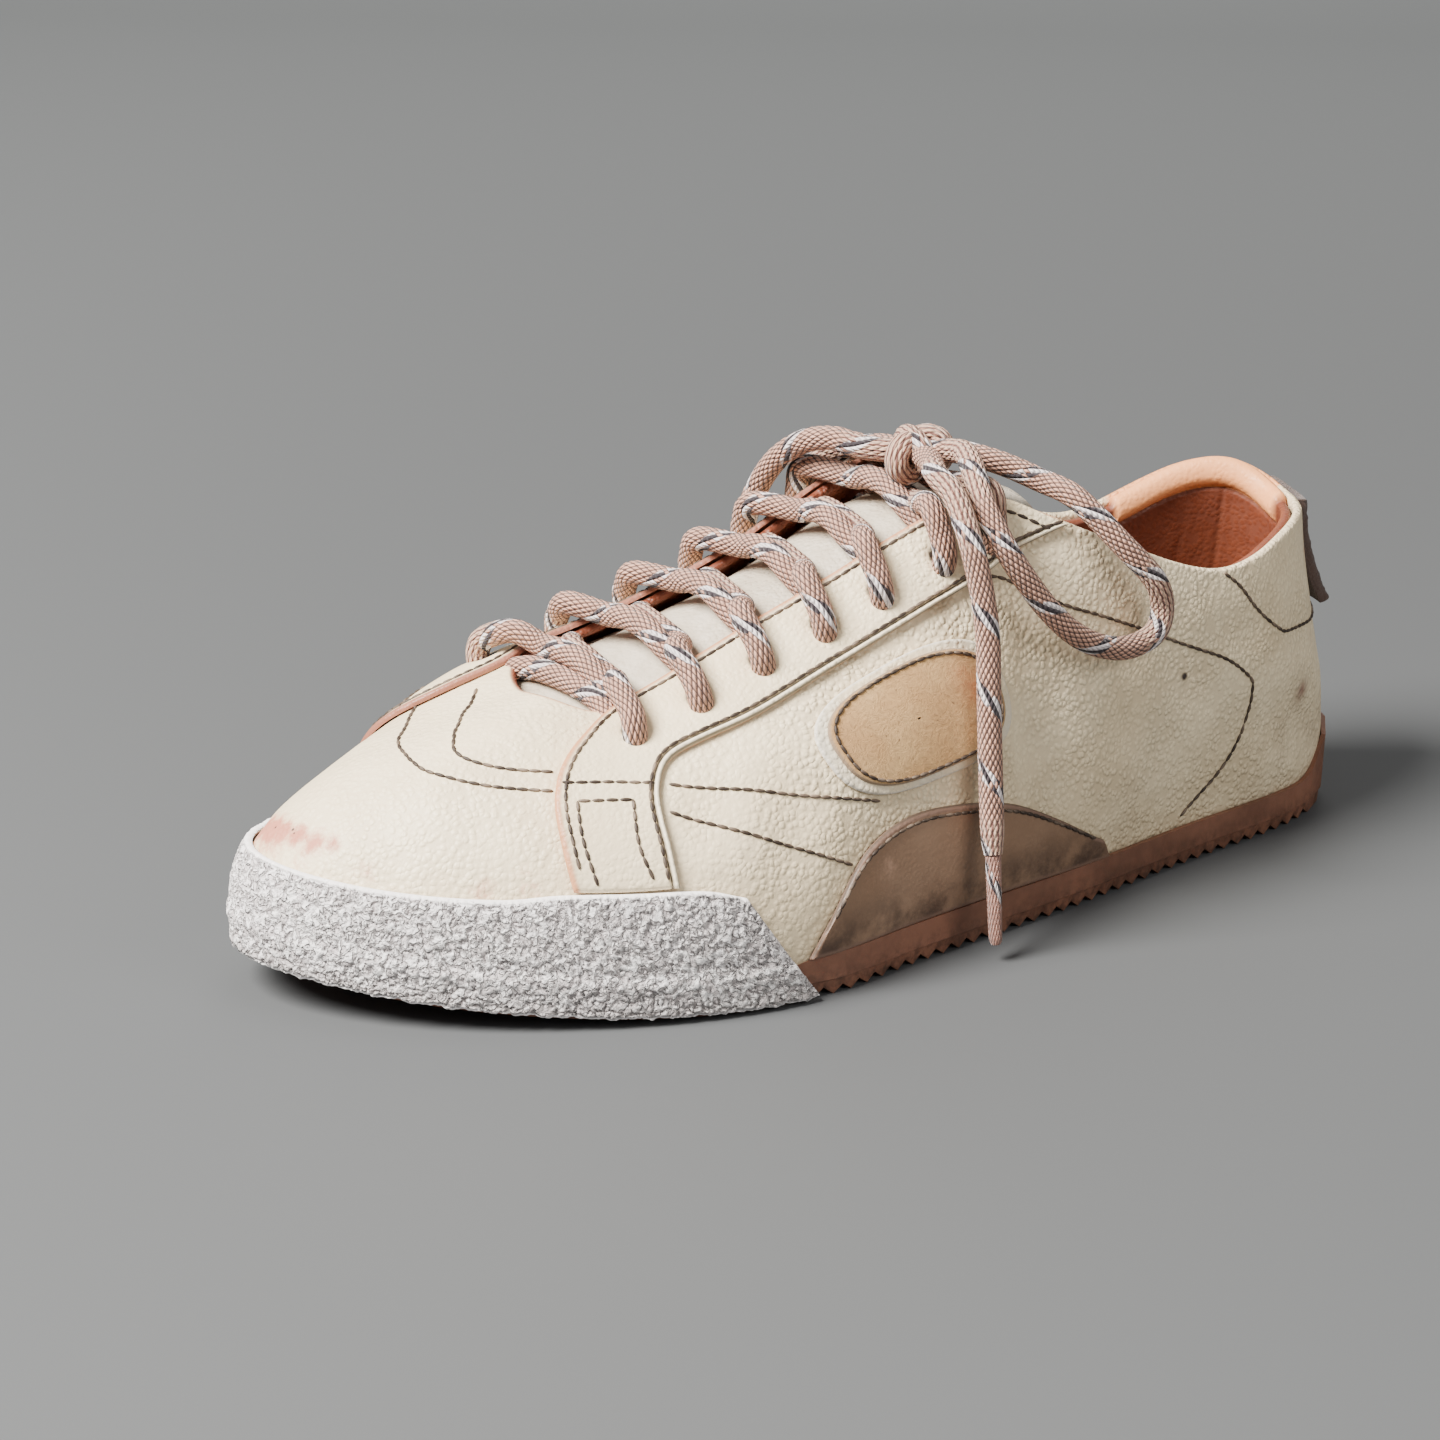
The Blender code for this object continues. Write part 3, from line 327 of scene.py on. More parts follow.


# vulcanised rubber with a chalky foam skin that has cracked into crumbs: quite dull and nearly
# white, painted grey as shade in the pits and between the crumbs; crumbs of 1.7 mm and dust of 0.7 mm, both
# as coarse as it takes to show
def chalkRubber(name):
    material, tree, shader = newMaterial(name, 0.92)
    place = addNode(tree, "ShaderNodeTexCoord", None, None, "Object")
    cloud = addNode(tree, "ShaderNodeTexNoise", None, {"Vector": place, "Scale": 1 / 0.015, "Detail": 4.0})
    crumb = addNode(tree, "ShaderNodeTexNoise", None, {
        "Vector": place, "Scale": 1 / 0.0017, "Detail": 3.0, "Roughness": 0.5, "Distortion": 0.9})
    dust = addNode(tree, "ShaderNodeTexNoise", None, {"Vector": place, "Scale": 1 / 0.0007, "Detail": 4.0})
    pitShade, footDarkening, edge = (addNode(tree, "ShaderNodeAttribute", {"attribute_name": key}, None, "Fac")
                        for key in ("pitShade", "dirtAndShade", "edge"))
    hill = addNode(tree, "ShaderNodeMapRange", easing, {0: crumb, 1: 0.38, 2: 0.58})
    gap = addNode(tree, "ShaderNodeMath", taking, {0: 1.0, 1: hill})
    dirtAndShade = addNode(tree, "ShaderNodeMath", timing, {0: footDarkening, 1: crumb})
    base = addNode(tree, "ShaderNodeMix", mixing, {
        0: addNode(tree, "ShaderNodeMapRange", easing, {0: cloud, 1: 0.35, 2: 0.65}),
        6: "#fffcfb", 7: "#f6f1f1"}, 2)
    # the gaps between crumbs and the pits are painted darker as shade, and the foot is darker low down
    for share, colour in ((gap, "#dcd4d3"), (pitShade, "#b2a9ac"), (dirtAndShade, "#8d8079"), (edge, "#fbf7f6")):
        base = addNode(tree, "ShaderNodeMix", mixing, {0: share, 6: base, 7: colour}, 2)
    tree.links.new(base, shader.inputs["Base Color"])
    height = addNode(tree, "ShaderNodeMath", {"operation": "MULTIPLY_ADD"}, {0: dust, 1: 0.35, 2: hill})
    height = addNode(tree, "ShaderNodeMath", timing, {
        0: height, 1: addNode(tree, "ShaderNodeMath", taking, {0: 1.0, 1: edge})})
    bump = addNode(tree, "ShaderNodeBump", None, {"Height": height, "Strength": 1.0, "Distance": 0.0012})
    tree.links.new(bump, shader.inputs["Normal"])
    return material


# brushed split leather: short nap that lies in streaks, darker where it is pressed, soft sheen;
# tufts of 1.1 mm, coarser than real nap so that they show
def suede(name, finish):
    material, tree, shader = newMaterial(name, 0.9)
    place = addNode(tree, "ShaderNodeTexCoord", None, None, "Object")
    cloud = addNode(tree, "ShaderNodeTexNoise", None, {"Vector": place, "Scale": 1 / 0.012, "Detail": 5.0})
    curl = addNode(tree, "ShaderNodeTexNoise", None, {
        "Vector": place, "Scale": 1 / 0.0045, "Detail": 1.0}, "Color")
    bent = addNode(tree, "ShaderNodeVectorMath", {"operation": "MULTIPLY_ADD"}, {
        0: curl, 1: (0.006,) * 3, 2: place})
    nap = addNode(tree, "ShaderNodeTexNoise", None, {
        "Vector": bent, "Scale": 1 / 0.0011, "Detail": 6.0, "Roughness": 0.7})
    fleck = addNode(tree, "ShaderNodeTexNoise", None, {"Vector": bent, "Scale": 1 / 0.0008, "Detail": 2.0})
    stain, edge = (addNode(tree, "ShaderNodeAttribute", {"attribute_name": key}, None, "Fac")
                   for key in ("stain", "edge"))
    base = addNode(tree, "ShaderNodeMix", mixing, {
        0: addNode(tree, "ShaderNodeMapRange", easing, {0: cloud, 1: 0.32, 2: 0.68}),
        6: finish["light"], 7: finish["shade"]}, 2)
    pressed = addNode(tree, "ShaderNodeMapRange", easing, {0: nap, 1: 0.38, 2: 0.70, 3: 0.0, 4: 0.5})
    specks = addNode(tree, "ShaderNodeMapRange", easing, {0: fleck, 1: 0.66, 2: 0.74, 3: 0.0, 4: 0.6})
    smear = addNode(tree, "ShaderNodeMath", timing, {
        0: stain, 1: addNode(tree, "ShaderNodeMapRange", easing, {0: nap, 1: 0.25, 2: 0.6, 3: 0.35, 4: 1.0})})
    for share, colour in ((pressed, finish["deep"]), (specks, finish["fleck"]), (smear, finish["stain"]),
                          (edge, finish["rawEdge"])):
        base = addNode(tree, "ShaderNodeMix", mixing, {0: share, 6: base, 7: colour}, 2)
    tree.links.new(base, shader.inputs["Base Color"])
    shader.inputs["Sheen Weight"].default_value = 0.25
    shader.inputs["Sheen Roughness"].default_value = 0.5
    bump = addNode(tree, "ShaderNodeBump", None, {"Height": nap, "Strength": 0.9, "Distance": finish["nap"]})
    tree.links.new(bump, shader.inputs["Normal"])
    return material


# gum rubber, moulded: even and slightly see-through, darker in patches of grit and more so low down; grit of
# 2.5 mm patches
def gumRubber(name):
    material, tree, shader = newMaterial(name, 0.55)
    place = addNode(tree, "ShaderNodeTexCoord", None, None, "Object")
    cloud = addNode(tree, "ShaderNodeTexNoise", None, {"Vector": place, "Scale": 1 / 0.02, "Detail": 4.0})
    grit = addNode(tree, "ShaderNodeTexNoise", None, {
        "Vector": place, "Scale": 1 / 0.0025, "Detail": 6.0, "Roughness": 0.7})
    height = addNode(tree, "ShaderNodeSeparateXYZ", None, {0: place}, "Z")
    base = addNode(tree, "ShaderNodeMix", mixing, {
        0: addNode(tree, "ShaderNodeMapRange", easing, {0: cloud, 1: 0.35, 2: 0.65}),
        6: "#8c5f4a", 7: "#6f4a38"}, 2)
    low = addNode(tree, "ShaderNodeMapRange", easing, {0: height, 1: 0.0, 2: 0.009, 3: 1.0, 4: 0.0})
    reach = addNode(tree, "ShaderNodeMath", {"operation": "MULTIPLY_ADD"}, {0: low, 1: 0.75, 2: 0.12})
    dirtAndShade = addNode(tree, "ShaderNodeMath", timing, {
        0: reach, 1: addNode(tree, "ShaderNodeMapRange", easing, {0: grit, 1: 0.35, 2: 0.7})})
    base = addNode(tree, "ShaderNodeMix", mixing, {0: dirtAndShade, 6: base, 7: "#3f2a20"}, 2)
    tree.links.new(base, shader.inputs["Base Color"])
    shader.inputs["Subsurface Weight"].default_value = 0.08
    shader.inputs["Subsurface Scale"].default_value = 0.004
    bump = addNode(tree, "ShaderNodeBump", None, {"Height": grit, "Strength": 0.5, "Distance": 0.0003})
    tree.links.new(bump, shader.inputs["Normal"])
    return material


# braided polyester cord: small diamonds of yarn, a twisted run of black and white marker
# yarns that comes round every so often, and stretches where the long core yarns show;
# 14 yarns each way at a pitch of 2.4 mm, fewer than in a real cord so that the weave shows
def braid(name, cord, roughness=0.8):
    material, tree, shader = newMaterial(name, roughness)
    uv = addNode(tree, "ShaderNodeUVMap", {"uv_map": "weave"})
    along = addNode(tree, "ShaderNodeSeparateXYZ", None, {0: uv}, "X")
    turn = addNode(tree, "ShaderNodeSeparateXYZ", None, {0: uv}, "Y")
    step = addNode(tree, "ShaderNodeMath", dividing, {0: along, 1: cord["pitch"]})
    spin = addNode(tree, "ShaderNodeMath", timing, {0: turn, 1: float(cord["yarns"])})
    hills, cells = [], []  # the yarns that wind one way and the other
    for way in (adding, taking):
        yarn = addNode(tree, "ShaderNodeMath", way, {0: step, 1: spin})
        part = addNode(tree, "ShaderNodeMath", {"operation": "FRACT"}, {0: yarn})
        angle = addNode(tree, "ShaderNodeMath", timing, {0: part, 1: math.pi})
        hills.append(addNode(tree, "ShaderNodeMath", {"operation": "SINE"}, {0: angle}))
        cells.append(addNode(tree, "ShaderNodeMath", {"operation": "FLOOR"}, {0: yarn}))
    hill = addNode(tree, "ShaderNodeMath", timing, {0: hills[0], 1: hills[1]})
    cell = addNode(tree, "ShaderNodeCombineXYZ", None, {0: cells[0], 1: cells[1]})
    shade = addNode(tree, "ShaderNodeTexWhiteNoise", {"noise_dimensions": "2D"}, {"Vector": cell}, "Value")
    # painted light on the yarns' crowns and painted shade in the gaps between them
    base = addNode(tree, "ShaderNodeMix", mixing, {
        0: addNode(tree, "ShaderNodeMapRange", easing, {0: hill, 1: 0.02, 2: 0.5}),
        6: cord["deep"], 7: cord["light"]}, 2)
    faded = addNode(tree, "ShaderNodeMath", timing, {0: shade, 1: 0.28})
    # stretches of straight core yarns
    span = addNode(tree, "ShaderNodeMath", dividing, {0: along, 1: cord["stripeEvery"]})
    span = addNode(tree, "ShaderNodeMath", {"operation": "FRACT"}, {0: span})
    span = addNode(tree, "ShaderNodeMath", taking, {0: span, 1: 0.3})
    span = addNode(tree, "ShaderNodeMath", {"operation": "ABSOLUTE"}, {0: span})
    inSpan = addNode(tree, "ShaderNodeMapRange", easing, {0: span, 1: 0.13, 2: 0.16, 3: 1.0, 4: 0.0})
    wave = addNode(tree, "ShaderNodeMath", timing, {0: turn, 1: 2 * math.pi * 13})
    wave = addNode(tree, "ShaderNodeMath", {"operation": "SINE"}, {0: wave})
    stripe = addNode(tree, "ShaderNodeMath", timing, {
        0: inSpan, 1: addNode(tree, "ShaderNodeMapRange", easing, {0: wave, 1: -0.5, 2: 0.4})})
    core = addNode(tree, "ShaderNodeMath", timing, {
        0: inSpan,
        1: addNode(tree, "ShaderNodeMapRange", easing, {0: wave, 1: -0.9, 2: -0.6, 3: 1.0, 4: 0.0})})
    # black and white marker yarns that wind round the cord
    lap = addNode(tree, "ShaderNodeMath", dividing, {0: along, 1: cord["fleckEvery"]})
    lap = addNode(tree, "ShaderNodeMath", adding, {0: turn, 1: lap})
    lap = addNode(tree, "ShaderNodeMath", {"operation": "FRACT"}, {0: lap})
    lap = addNode(tree, "ShaderNodeMath", taking, {0: lap, 1: 0.5})
    lap = addNode(tree, "ShaderNodeMath", {"operation": "ABSOLUTE"}, {0: lap})
    inLap = addNode(tree, "ShaderNodeMapRange", easing, {
        0: lap, 1: cord["fleckShare"] - 0.02, 2: cord["fleckShare"], 3: 1.0, 4: 0.0})
    inLap = addNode(tree, "ShaderNodeMath", timing, {
        0: inLap, 1: addNode(tree, "ShaderNodeMapRange", easing, {0: shade, 1: 0.10, 2: 0.12})})
    twin = addNode(tree, "ShaderNodeMath", timing, {0: cells[0], 1: 0.5})
    twin = addNode(tree, "ShaderNodeMath", {"operation": "FRACT"}, {0: twin})
    dark = addNode(tree, "ShaderNodeMath", timing, {
        0: inLap, 1: addNode(tree, "ShaderNodeMapRange", easing, {0: twin, 1: 0.2, 2: 0.3, 3: 1.0, 4: 0.0})})
    pale = addNode(tree, "ShaderNodeMath", timing, {
        0: inLap, 1: addNode(tree, "ShaderNodeMapRange", easing, {0: twin, 1: 0.2, 2: 0.3})})
    for share, colour in ((faded, cord["deep"]), (stripe, cord["stripe"]), (core, cord["core"]),
                          (dark, "#2c2128"), (pale, "#eee3e3")):
        base = addNode(tree, "ShaderNodeMix", mixing, {0: share, 6: base, 7: colour}, 2)
    tree.links.new(base, shader.inputs["Base Color"])
    shader.inputs["Sheen Weight"].default_value = 0.15
    bump = addNode(tree, "ShaderNodeBump", None, {"Height": hill, "Strength": 1.0, "Distance": 0.0006})
    tree.links.new(bump, shader.inputs["Normal"])
    return material


# waxed thread, twisted: dark, with paler dust on it in patches of 4 mm
def thread(name, colour):
    material, tree, shader = newMaterial(name, 0.6)
    place = addNode(tree, "ShaderNodeTexCoord", None, None, "Object")
    fleck = addNode(tree, "ShaderNodeTexNoise", None, {"Vector": place, "Scale": 1 / 0.004, "Detail": 3.0})
    base = addNode(tree, "ShaderNodeMix", mixing, {
        0: addNode(tree, "ShaderNodeMapRange", easing, {0: fleck, 1: 0.4, 2: 0.8}),
        6: colour, 7: "#8a7766"}, 2)
    tree.links.new(base, shader.inputs["Base Color"])
    return material


# mesh object at the origin with outward faces, smooth but for edges sharper than crease degrees
def newPiece(name, points, faces, material, crease=50.0):
    mesh = bpy.data.meshes.new(name)
    mesh.from_pydata([tuple(map(float, p)) for p in points], [], faces)
    mesh.update()
    work = bmesh.new()
    work.from_mesh(mesh)
    bmesh.ops.recalc_face_normals(work, faces=work.faces)
    work.to_mesh(mesh)
    work.free()
    mesh.shade_smooth()
    mesh.set_sharp_from_angle(angle=math.radians(crease))
    mesh.materials.append(material)
    made = bpy.data.objects.new(name, mesh)
    bpy.context.scene.collection.objects.link(made)
    return made


# marks of wear, dirt and painted shade from 0 to 1, which the materials read as attributes
def setMarks(piece, **marks):
    for key, values in marks.items():
        layer = piece.data.attributes.new(key, "FLOAT", "POINT")
        layer.data.foreach_set("value", np.clip(np.asarray(values, dtype=np.float32).reshape(-1), 0.0, 1.0))


# closed sheet between two grids of points, open or closed along the first axis
def shellPiece(name, outer, inner, material, ring=False, marks=None, crease=60.0):
    rows, cols = outer.shape[:2]
    points = np.concatenate([outer.reshape(-1, 3), inner.reshape(-1, 3)])
    back = rows * cols
    faces = []
    span = rows if ring else rows - 1
    for i in range(span):
        j = (i + 1) % rows
        for k in range(cols - 1):
            a, b = i * cols + k, j * cols + k
            faces.append((a, b, b + 1, a + 1))
            faces.append((back + a, back + a + 1, back + b + 1, back + b))
        a, b = i * cols, j * cols
        faces.append((a, back + a, back + b, b))
        a, b = a + cols - 1, b + cols - 1
        faces.append((a, b, back + b, back + a))
    if not ring:
        for k in range(cols - 1):
            faces.append((k, k + 1, back + k + 1, back + k))
            a = (rows - 1) * cols + k
            faces.append((a, back + a, back + a + 1, a + 1))
    piece = newPiece(name, points, faces, material, crease)
    if marks:
        setMarks(piece, **{key: np.concatenate([np.broadcast_to(front, outer.shape[:2]).reshape(-1),
                                                np.broadcast_to(rear, outer.shape[:2]).reshape(-1)])
                           for key, (front, rear) in marks.items()})
    return piece


# what the frame is told of each piece
def ride(piece, nodes):
    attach(piece, "root")
    if nodes:
        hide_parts(*nodes)
    return piece


# distance in metres of each grid point from the nearest side of the grid
def borderDistance(grid):
    across = np.linalg.norm(np.diff(grid, axis=1), axis=-1)
    zero = np.zeros((grid.shape[0], 1))
    gone = np.concatenate([zero, np.cumsum(across, axis=1)], axis=1)
    side = np.minimum(gone, gone[:, -1:] - gone)
    along = np.linalg.norm(np.diff(grid, axis=0), axis=-1)
    zero = np.zeros((1, grid.shape[1]))
    gone = np.concatenate([zero, np.cumsum(along, axis=0)], axis=0)
    return side, np.minimum(gone, gone[-1:] - gone)


# 1 inside, falling round to 0 at the border, as a cut leather edge does
def rollOff(distance, radius):
    f = np.clip(distance / radius, 0.0, 1.0)
    return np.sqrt(np.clip(1.0 - (1.0 - f) ** 2, 0.0, 1.0))


# steps from 0 to 1 that are closer at both ends
def edgedSpacing(count, share):
    f = np.linspace(0.0, 1.0, count)
    return f - share * np.sin(2 * math.pi * f) / (2 * math.pi)


# round cord along a line, with a weave map: metres along, share of a turn around
def tubePiece(name, line, radius, material, sides=16, taper=None, squash=None):
    line = np.array(line)
    way = np.gradient(line, axis=0)
    way = way / np.linalg.norm(way, axis=1, keepdims=True)
    side = np.cross(way[0], (0.0, 0.0, 1.0))
    if np.linalg.norm(side) < 0.1:
        side = np.cross(way[0], (0.0, 1.0, 0.0))
    sidesWay = []
    for k in range(len(line)):
        side = side - way[k] * np.dot(side, way[k])
        side = side / np.linalg.norm(side)
        sidesWay.append(side)
    sidesWay = np.array(sidesWay)
    tall = np.cross(way, sidesWay)
    turn = np.linspace(0.0, 2 * math.pi, sides, endpoint=False)
    size = np.full(len(line), radius) if taper is None else radius * np.asarray(taper)
    rings = line[:, None, :] + size[:, None, None] * (
        np.cos(turn)[None, :, None] * sidesWay[:, None, :] + np.sin(turn)[None, :, None] * tall[:, None, :])
    points = list(rings.reshape(-1, 3)) + [line[0], line[-1]]
    faces = []
    uvs = []
    gone = np.concatenate([[0.0], np.cumsum(np.linalg.norm(np.diff(line, axis=0), axis=1))])
    length = float(gone[-1])
    gone = gone + (sum(map(ord, name)) % 29) * 0.0031
    for i in range(len(line) - 1):
        for k in range(sides):
            m = (k + 1) % sides
            faces.append((i * sides + k, i * sides + m, (i + 1) * sides + m, (i + 1) * sides + k))
            a, b = k / sides, (k + 1) / sides
            uvs += [(gone[i], a), (gone[i], b), (gone[i + 1], b), (gone[i + 1], a)]
    first, final = len(points) - 2, len(points) - 1
    for k in range(sides):
        m = (k + 1) % sides
        faces.append((first, m, k))
        uvs += [(gone[0], 0.0)] * 3
        base = (len(line) - 1) * sides
        faces.append((final, base + k, base + m))
        uvs += [(gone[-1], 0.0)] * 3
    mesh = bpy.data.meshes.new(name)
    mesh.from_pydata([tuple(map(float, p)) for p in points], [], faces)
    layer = mesh.uv_layers.new(name="weave")
    layer.data.foreach_set("uv", np.array(uvs, dtype=np.float32).reshape(-1))
    work = bmesh.new()
    work.from_mesh(mesh)
    bmesh.ops.recalc_face_normals(work, faces=work.faces)
    work.to_mesh(mesh)
    work.free()
    mesh.shade_smooth()
    mesh.set_sharp_from_angle(angle=math.radians(60.0))
    mesh.materials.append(material)
    made = bpy.data.objects.new(name, mesh)
    bpy.context.scene.collection.objects.link(made)
    return made, length


# camera and stage, set from the photograph
def placeCamera(view):
    azimuth, height, roll = (math.radians(view[key]) for key in ("azimuth", "height", "roll"))
    level = math.cos(height)
    back = Vector((math.sin(azimuth) * level, -math.cos(azimuth) * level, math.sin(height)))
    right = Vector((math.cos(azimuth), math.sin(azimuth), 0.0))
    up = back.cross(right)
    turnedRight = right * math.cos(roll) + up * math.sin(roll)
    turnedUp = up * math.cos(roll) - right * math.sin(roll)
    lens = bpy.data.cameras.new("shoeCamera")
    pixels = view["pixels"]
    lens.sensor_width = view["sensor"]
    lens.lens = view["focal"] / pixels * view["sensor"]
    lens.shift_x = (pixels / 2 - view["centreX"]) / pixels
    lens.shift_y = (view["centreY"] - pixels / 2) / pixels
    lens.clip_start = 0.05
    camera = bpy.data.objects.new("shoeCamera", lens)
    spot = Vector(view["target"]) + back * view["distance"]
    matrix = Matrix((turnedRight, turnedUp, back)).transposed().to_4x4()
    matrix.translation = spot
    camera.matrix_world = matrix
    bpy.context.scene.collection.objects.link(camera)
    bpy.context.scene.camera = camera
    return back, right


# degrees and metres; focal length and centre in the photo's pixels
photoView = {"azimuth": -36.52, "height": 18.87, "roll": 1.01, "distance": 0.88209, "focal": 3863.47,
             "centreX": 844.23, "centreY": 723.47, "pixels": 1440.0, "sensor": 36.0,
             "target": (0.0, 0.0, 0.040)}
viewBack, viewRight = placeCamera(photoView)

# near and far are the board's colours: painted shade near the shoe, painted light far off
studio = {"near": "#525456", "far": "#818486", "room": 0.27, "key": 114.0, "fill": 13.0, "rim": 4.0,
          "run": 1.3, "bend": 0.9, "front": -4.0, "wall": 4.0, "half": 5.0}


# grey painted board, matt, that bends up behind the shoe, with painted shade near the shoe and painted light
# far off
def buildStage(studio):
    material, tree, shader = newMaterial("paintedBoard", 0.7)
    place = addNode(tree, "ShaderNodeTexCoord", None, None, "Object")
    away = addNode(tree, "ShaderNodeVectorMath", {"operation": "LENGTH"}, {0: place}, "Value")
    # painted shade near the shoe fading to painted light 1.9 m away
    base = addNode(tree, "ShaderNodeMix", mixing, {
        0: addNode(tree, "ShaderNodeMapRange", easing, {0: away, 1: 0.1, 2: 1.9}),
        6: studio["near"], 7: studio["far"]}, 2)
    tree.links.new(base, shader.inputs["Base Color"])
    floorPoints = []
    steps = 24
    toWall = -Vector((viewBack.x, viewBack.y, 0.0)).normalized()
    flat = Vector((viewRight.x, viewRight.y, 0.0)).normalized()
    profile = [(studio["front"], 0.0), (studio["run"], 0.0)]
    for i in range(1, steps + 1):
        angle = 0.5 * math.pi * i / steps
        profile.append((studio["run"] + studio["bend"] * math.sin(angle),
                        studio["bend"] * (1 - math.cos(angle))))
    profile.append((studio["run"] + studio["bend"], studio["wall"]))
    for run, rise in profile:
        for across in (-studio["half"], studio["half"]):
            point = toWall * run + flat * across
            floorPoints.append((point.x, point.y, rise))
    faces = [(2 * i, 2 * i + 1, 2 * i + 3, 2 * i + 2) for i in range(len(profile) - 1)]
    sweep = newPiece("studioSweep", floorPoints, faces, material)
    world = bpy.data.worlds.new("softRoom")
    world.use_nodes = True
    world.node_tree.nodes["Background"].inputs["Color"].default_value = tone("#e9ecef")
    world.node_tree.nodes["Background"].inputs["Strength"].default_value = studio["room"]
    bpy.context.scene.world = world
    lamps = [("key", (-1.05, 0.10, 1.20), 0.9, studio["key"]),
             ("fill", (0.45, -1.5, 1.0), 1.2, studio["fill"]),
             ("rim", (0.9, 0.9, 1.1), 1.0, studio["rim"])]
    for name, spot, size, power in lamps:
        light = bpy.data.lights.new(name, "AREA")
        light.shape = "DISK"
        light.size = size
        light.energy = power
        light.color = (1.0, 0.965, 0.91)
        lamp = bpy.data.objects.new(name, light)
        lamp.location = spot
        lamp.rotation_mode = "QUATERNION"
        lamp.rotation_quaternion = (Vector((0.0, 0.0, 0.04)) - Vector(spot)).to_track_quat("-Z", "Y")
        bpy.context.scene.collection.objects.link(lamp)


buildStage(studio)
print("stage done")

# tables shared by the leather pieces: places as u round the foot and h up the skin;
# a row of four is a point on each side of the strip
eyelets = [(11.45, 0.86), (10.2, 0.88), (9.25, 0.89), (8.42, 0.89), (7.7, 0.89), (6.98, 0.89), (6.25, 0.90)]
eyestayEdge = [
    (5.85, 1.0, 5.05, 0.985), (6.5, 1.0, 5.65, 0.885), (7.2, 1.0, 6.4, 0.81), (8.0, 1.0, 7.3, 0.78),
    (9.0, 1.0, 8.4, 0.77), (10.0, 1.0, 9.5, 0.75), (10.9, 1.0, 10.3, 0.75), (11.6, 0.99, 10.75, 0.74),
    (12.15, 0.94, 11.0, 0.71), (12.5, 0.83, 11.12, 0.66), (12.6, 0.72, 11.15, 0.60), (12.5, 0.60, 11.1, 0.53),
    (12.3, 0.48, 11.0, 0.44), (12.02, 0.309, 10.88, 0.313)]
bumperTop = [
    (10.1, 0.255), (10.6, 0.295), (11.3, 0.305), (12.1, 0.30), (12.7, 0.27), (13.7, 0.25), (15.0, 0.24),
    (16.3, 0.25), (17.3, 0.27), (17.9, 0.30), (18.7, 0.305), (19.4, 0.295), (19.9, 0.255)]
archEdge = [
    (9.29, 0.042, 9.1, 0.11), (8.9, 0.04, 8.65, 0.25), (8.4, 0.04, 8.25, 0.305),
    (7.8, 0.04, 7.7, 0.32), (7.1, 0.04, 7.0, 0.295), (6.3, 0.04, 6.2, 0.25),
    (5.4, 0.04, 5.35, 0.18), (4.5, 0.04, 4.65, 0.1)]
# u and h where the tongue's sides tuck in, then the rise and the forward shift of its middle
tongueRows = [
    (13.0, 0.80, -0.078, 0.030), (12.4, 0.84, -0.064, 0.012), (11.6, 0.86, -0.045, 0.0),
    (10.6, 0.87, -0.035, 0.0), (9.6, 0.87, -0.030, 0.0), (8.6, 0.88, -0.030, 0.0), (7.7, 0.88, -0.036, 0.0),
    (6.9, 0.88, -0.045, 0.0), (6.1, 0.88, -0.040, 0.0), (5.5, 0.90, -0.020, 0.0)]
unitsUp = 4.5  # how many steps of u are as long as the whole of h


# both sides of a strip as smooth lines of u and h
def strip(table, count):
    weight = np.array([1.0, unitsUp, 1.0, unitsUp])
    line = route(np.array(table) * weight, count) / weight
    line[:, 1::2] = np.minimum(line[:, 1::2], 1.0)
    return line[:, 0:2], line[:, 2:4]


# creases and dents of the worn upper: start, end, width and depth in metres; depth below 0 is a ridge
creases = [
    ((4.3, 0.82), (3.1, 0.45), 0.006, 0.0009),
    ((3.3, 0.86), (2.5, 0.66), 0.005, 0.0007),
    ((4.9, 0.60), (3.6, 0.30), 0.008, 0.0009),
    ((2.9, 0.35), (1.4, 0.30), 0.006, 0.0008),
    ((2.4, 0.20), (0.9, 0.22), 0.005, 0.0007),
    ((2.0, 0.80), (1.5, 0.50), 0.006, 0.0006),
    ((5.9, 0.55), (5.1, 0.25), 0.009, 0.0008),
    ((10.9, 0.36), (10.0, 0.62), 0.007, 0.0006),
    ((9.6, 0.25), (9.1, 0.55), 0.007, 0.0005),
    ((13.4, 0.80), (12.9, 0.45), 0.009, 0.0007),
    ((16.0, 0.85), (13.9, 0.60), 0.011, 0.0005),
    ((26.0, 0.70), (27.6, 0.35), 0.008, 0.0009),
    ((24.2, 0.62), (25.4, 0.30), 0.009, 0.0009),
    ((20.8, 0.70), (20.2, 0.35), 0.008, 0.0009),
    ((19.6, 0.80), (19.2, 0.40), 0.009, 0.0008),
    ((27.9, 0.75), (28.6, 0.40), 0.007, 0.0007)]


# depth of the listed troughs at u and h, with a soft ridge on either side
def creaseDepth(u, h):
    depth = np.zeros(np.broadcast(u, h).shape)
    spot = skin(u, h)
    for start, end, width, deep in creases:
        line = route([skin(start[0], start[1]),
                      skin(0.5 * (start[0] + end[0]) + 0.12, 0.5 * (start[1] + end[1]) + 0.01),
                      skin(end[0], end[1])], 16)
        low = line.min(axis=0) - 4 * width
        high = line.max(axis=0) + 4 * width
        near = np.all((spot > low) & (spot < high), axis=-1)
        if not near.any():
            continue
        gap = np.linalg.norm(spot[near][:, None, :] - line[None, :, :], axis=-1)
        best = gap.argmin(axis=1)
        gap = gap.min(axis=1)
        fade = np.sin(math.pi * (best + 0.5) / len(line))
        ridge = 0.55 * np.exp(-((gap - 1.9 * width) / width) ** 2)
        depth[near] += deep * fade * (np.exp(-(gap / width) ** 2) - ridge)
    return depth


swell = {"height": 0.00035, "size": 0.022}  # soft rise and fall of worn leather, in metres


# how far the worn leather stands off its last: soft swells less the creases
def leatherLift(u, h):
    return swell["height"] * grainNoise(skin(u, h), swell["size"], 3) - creaseDepth(u, h)


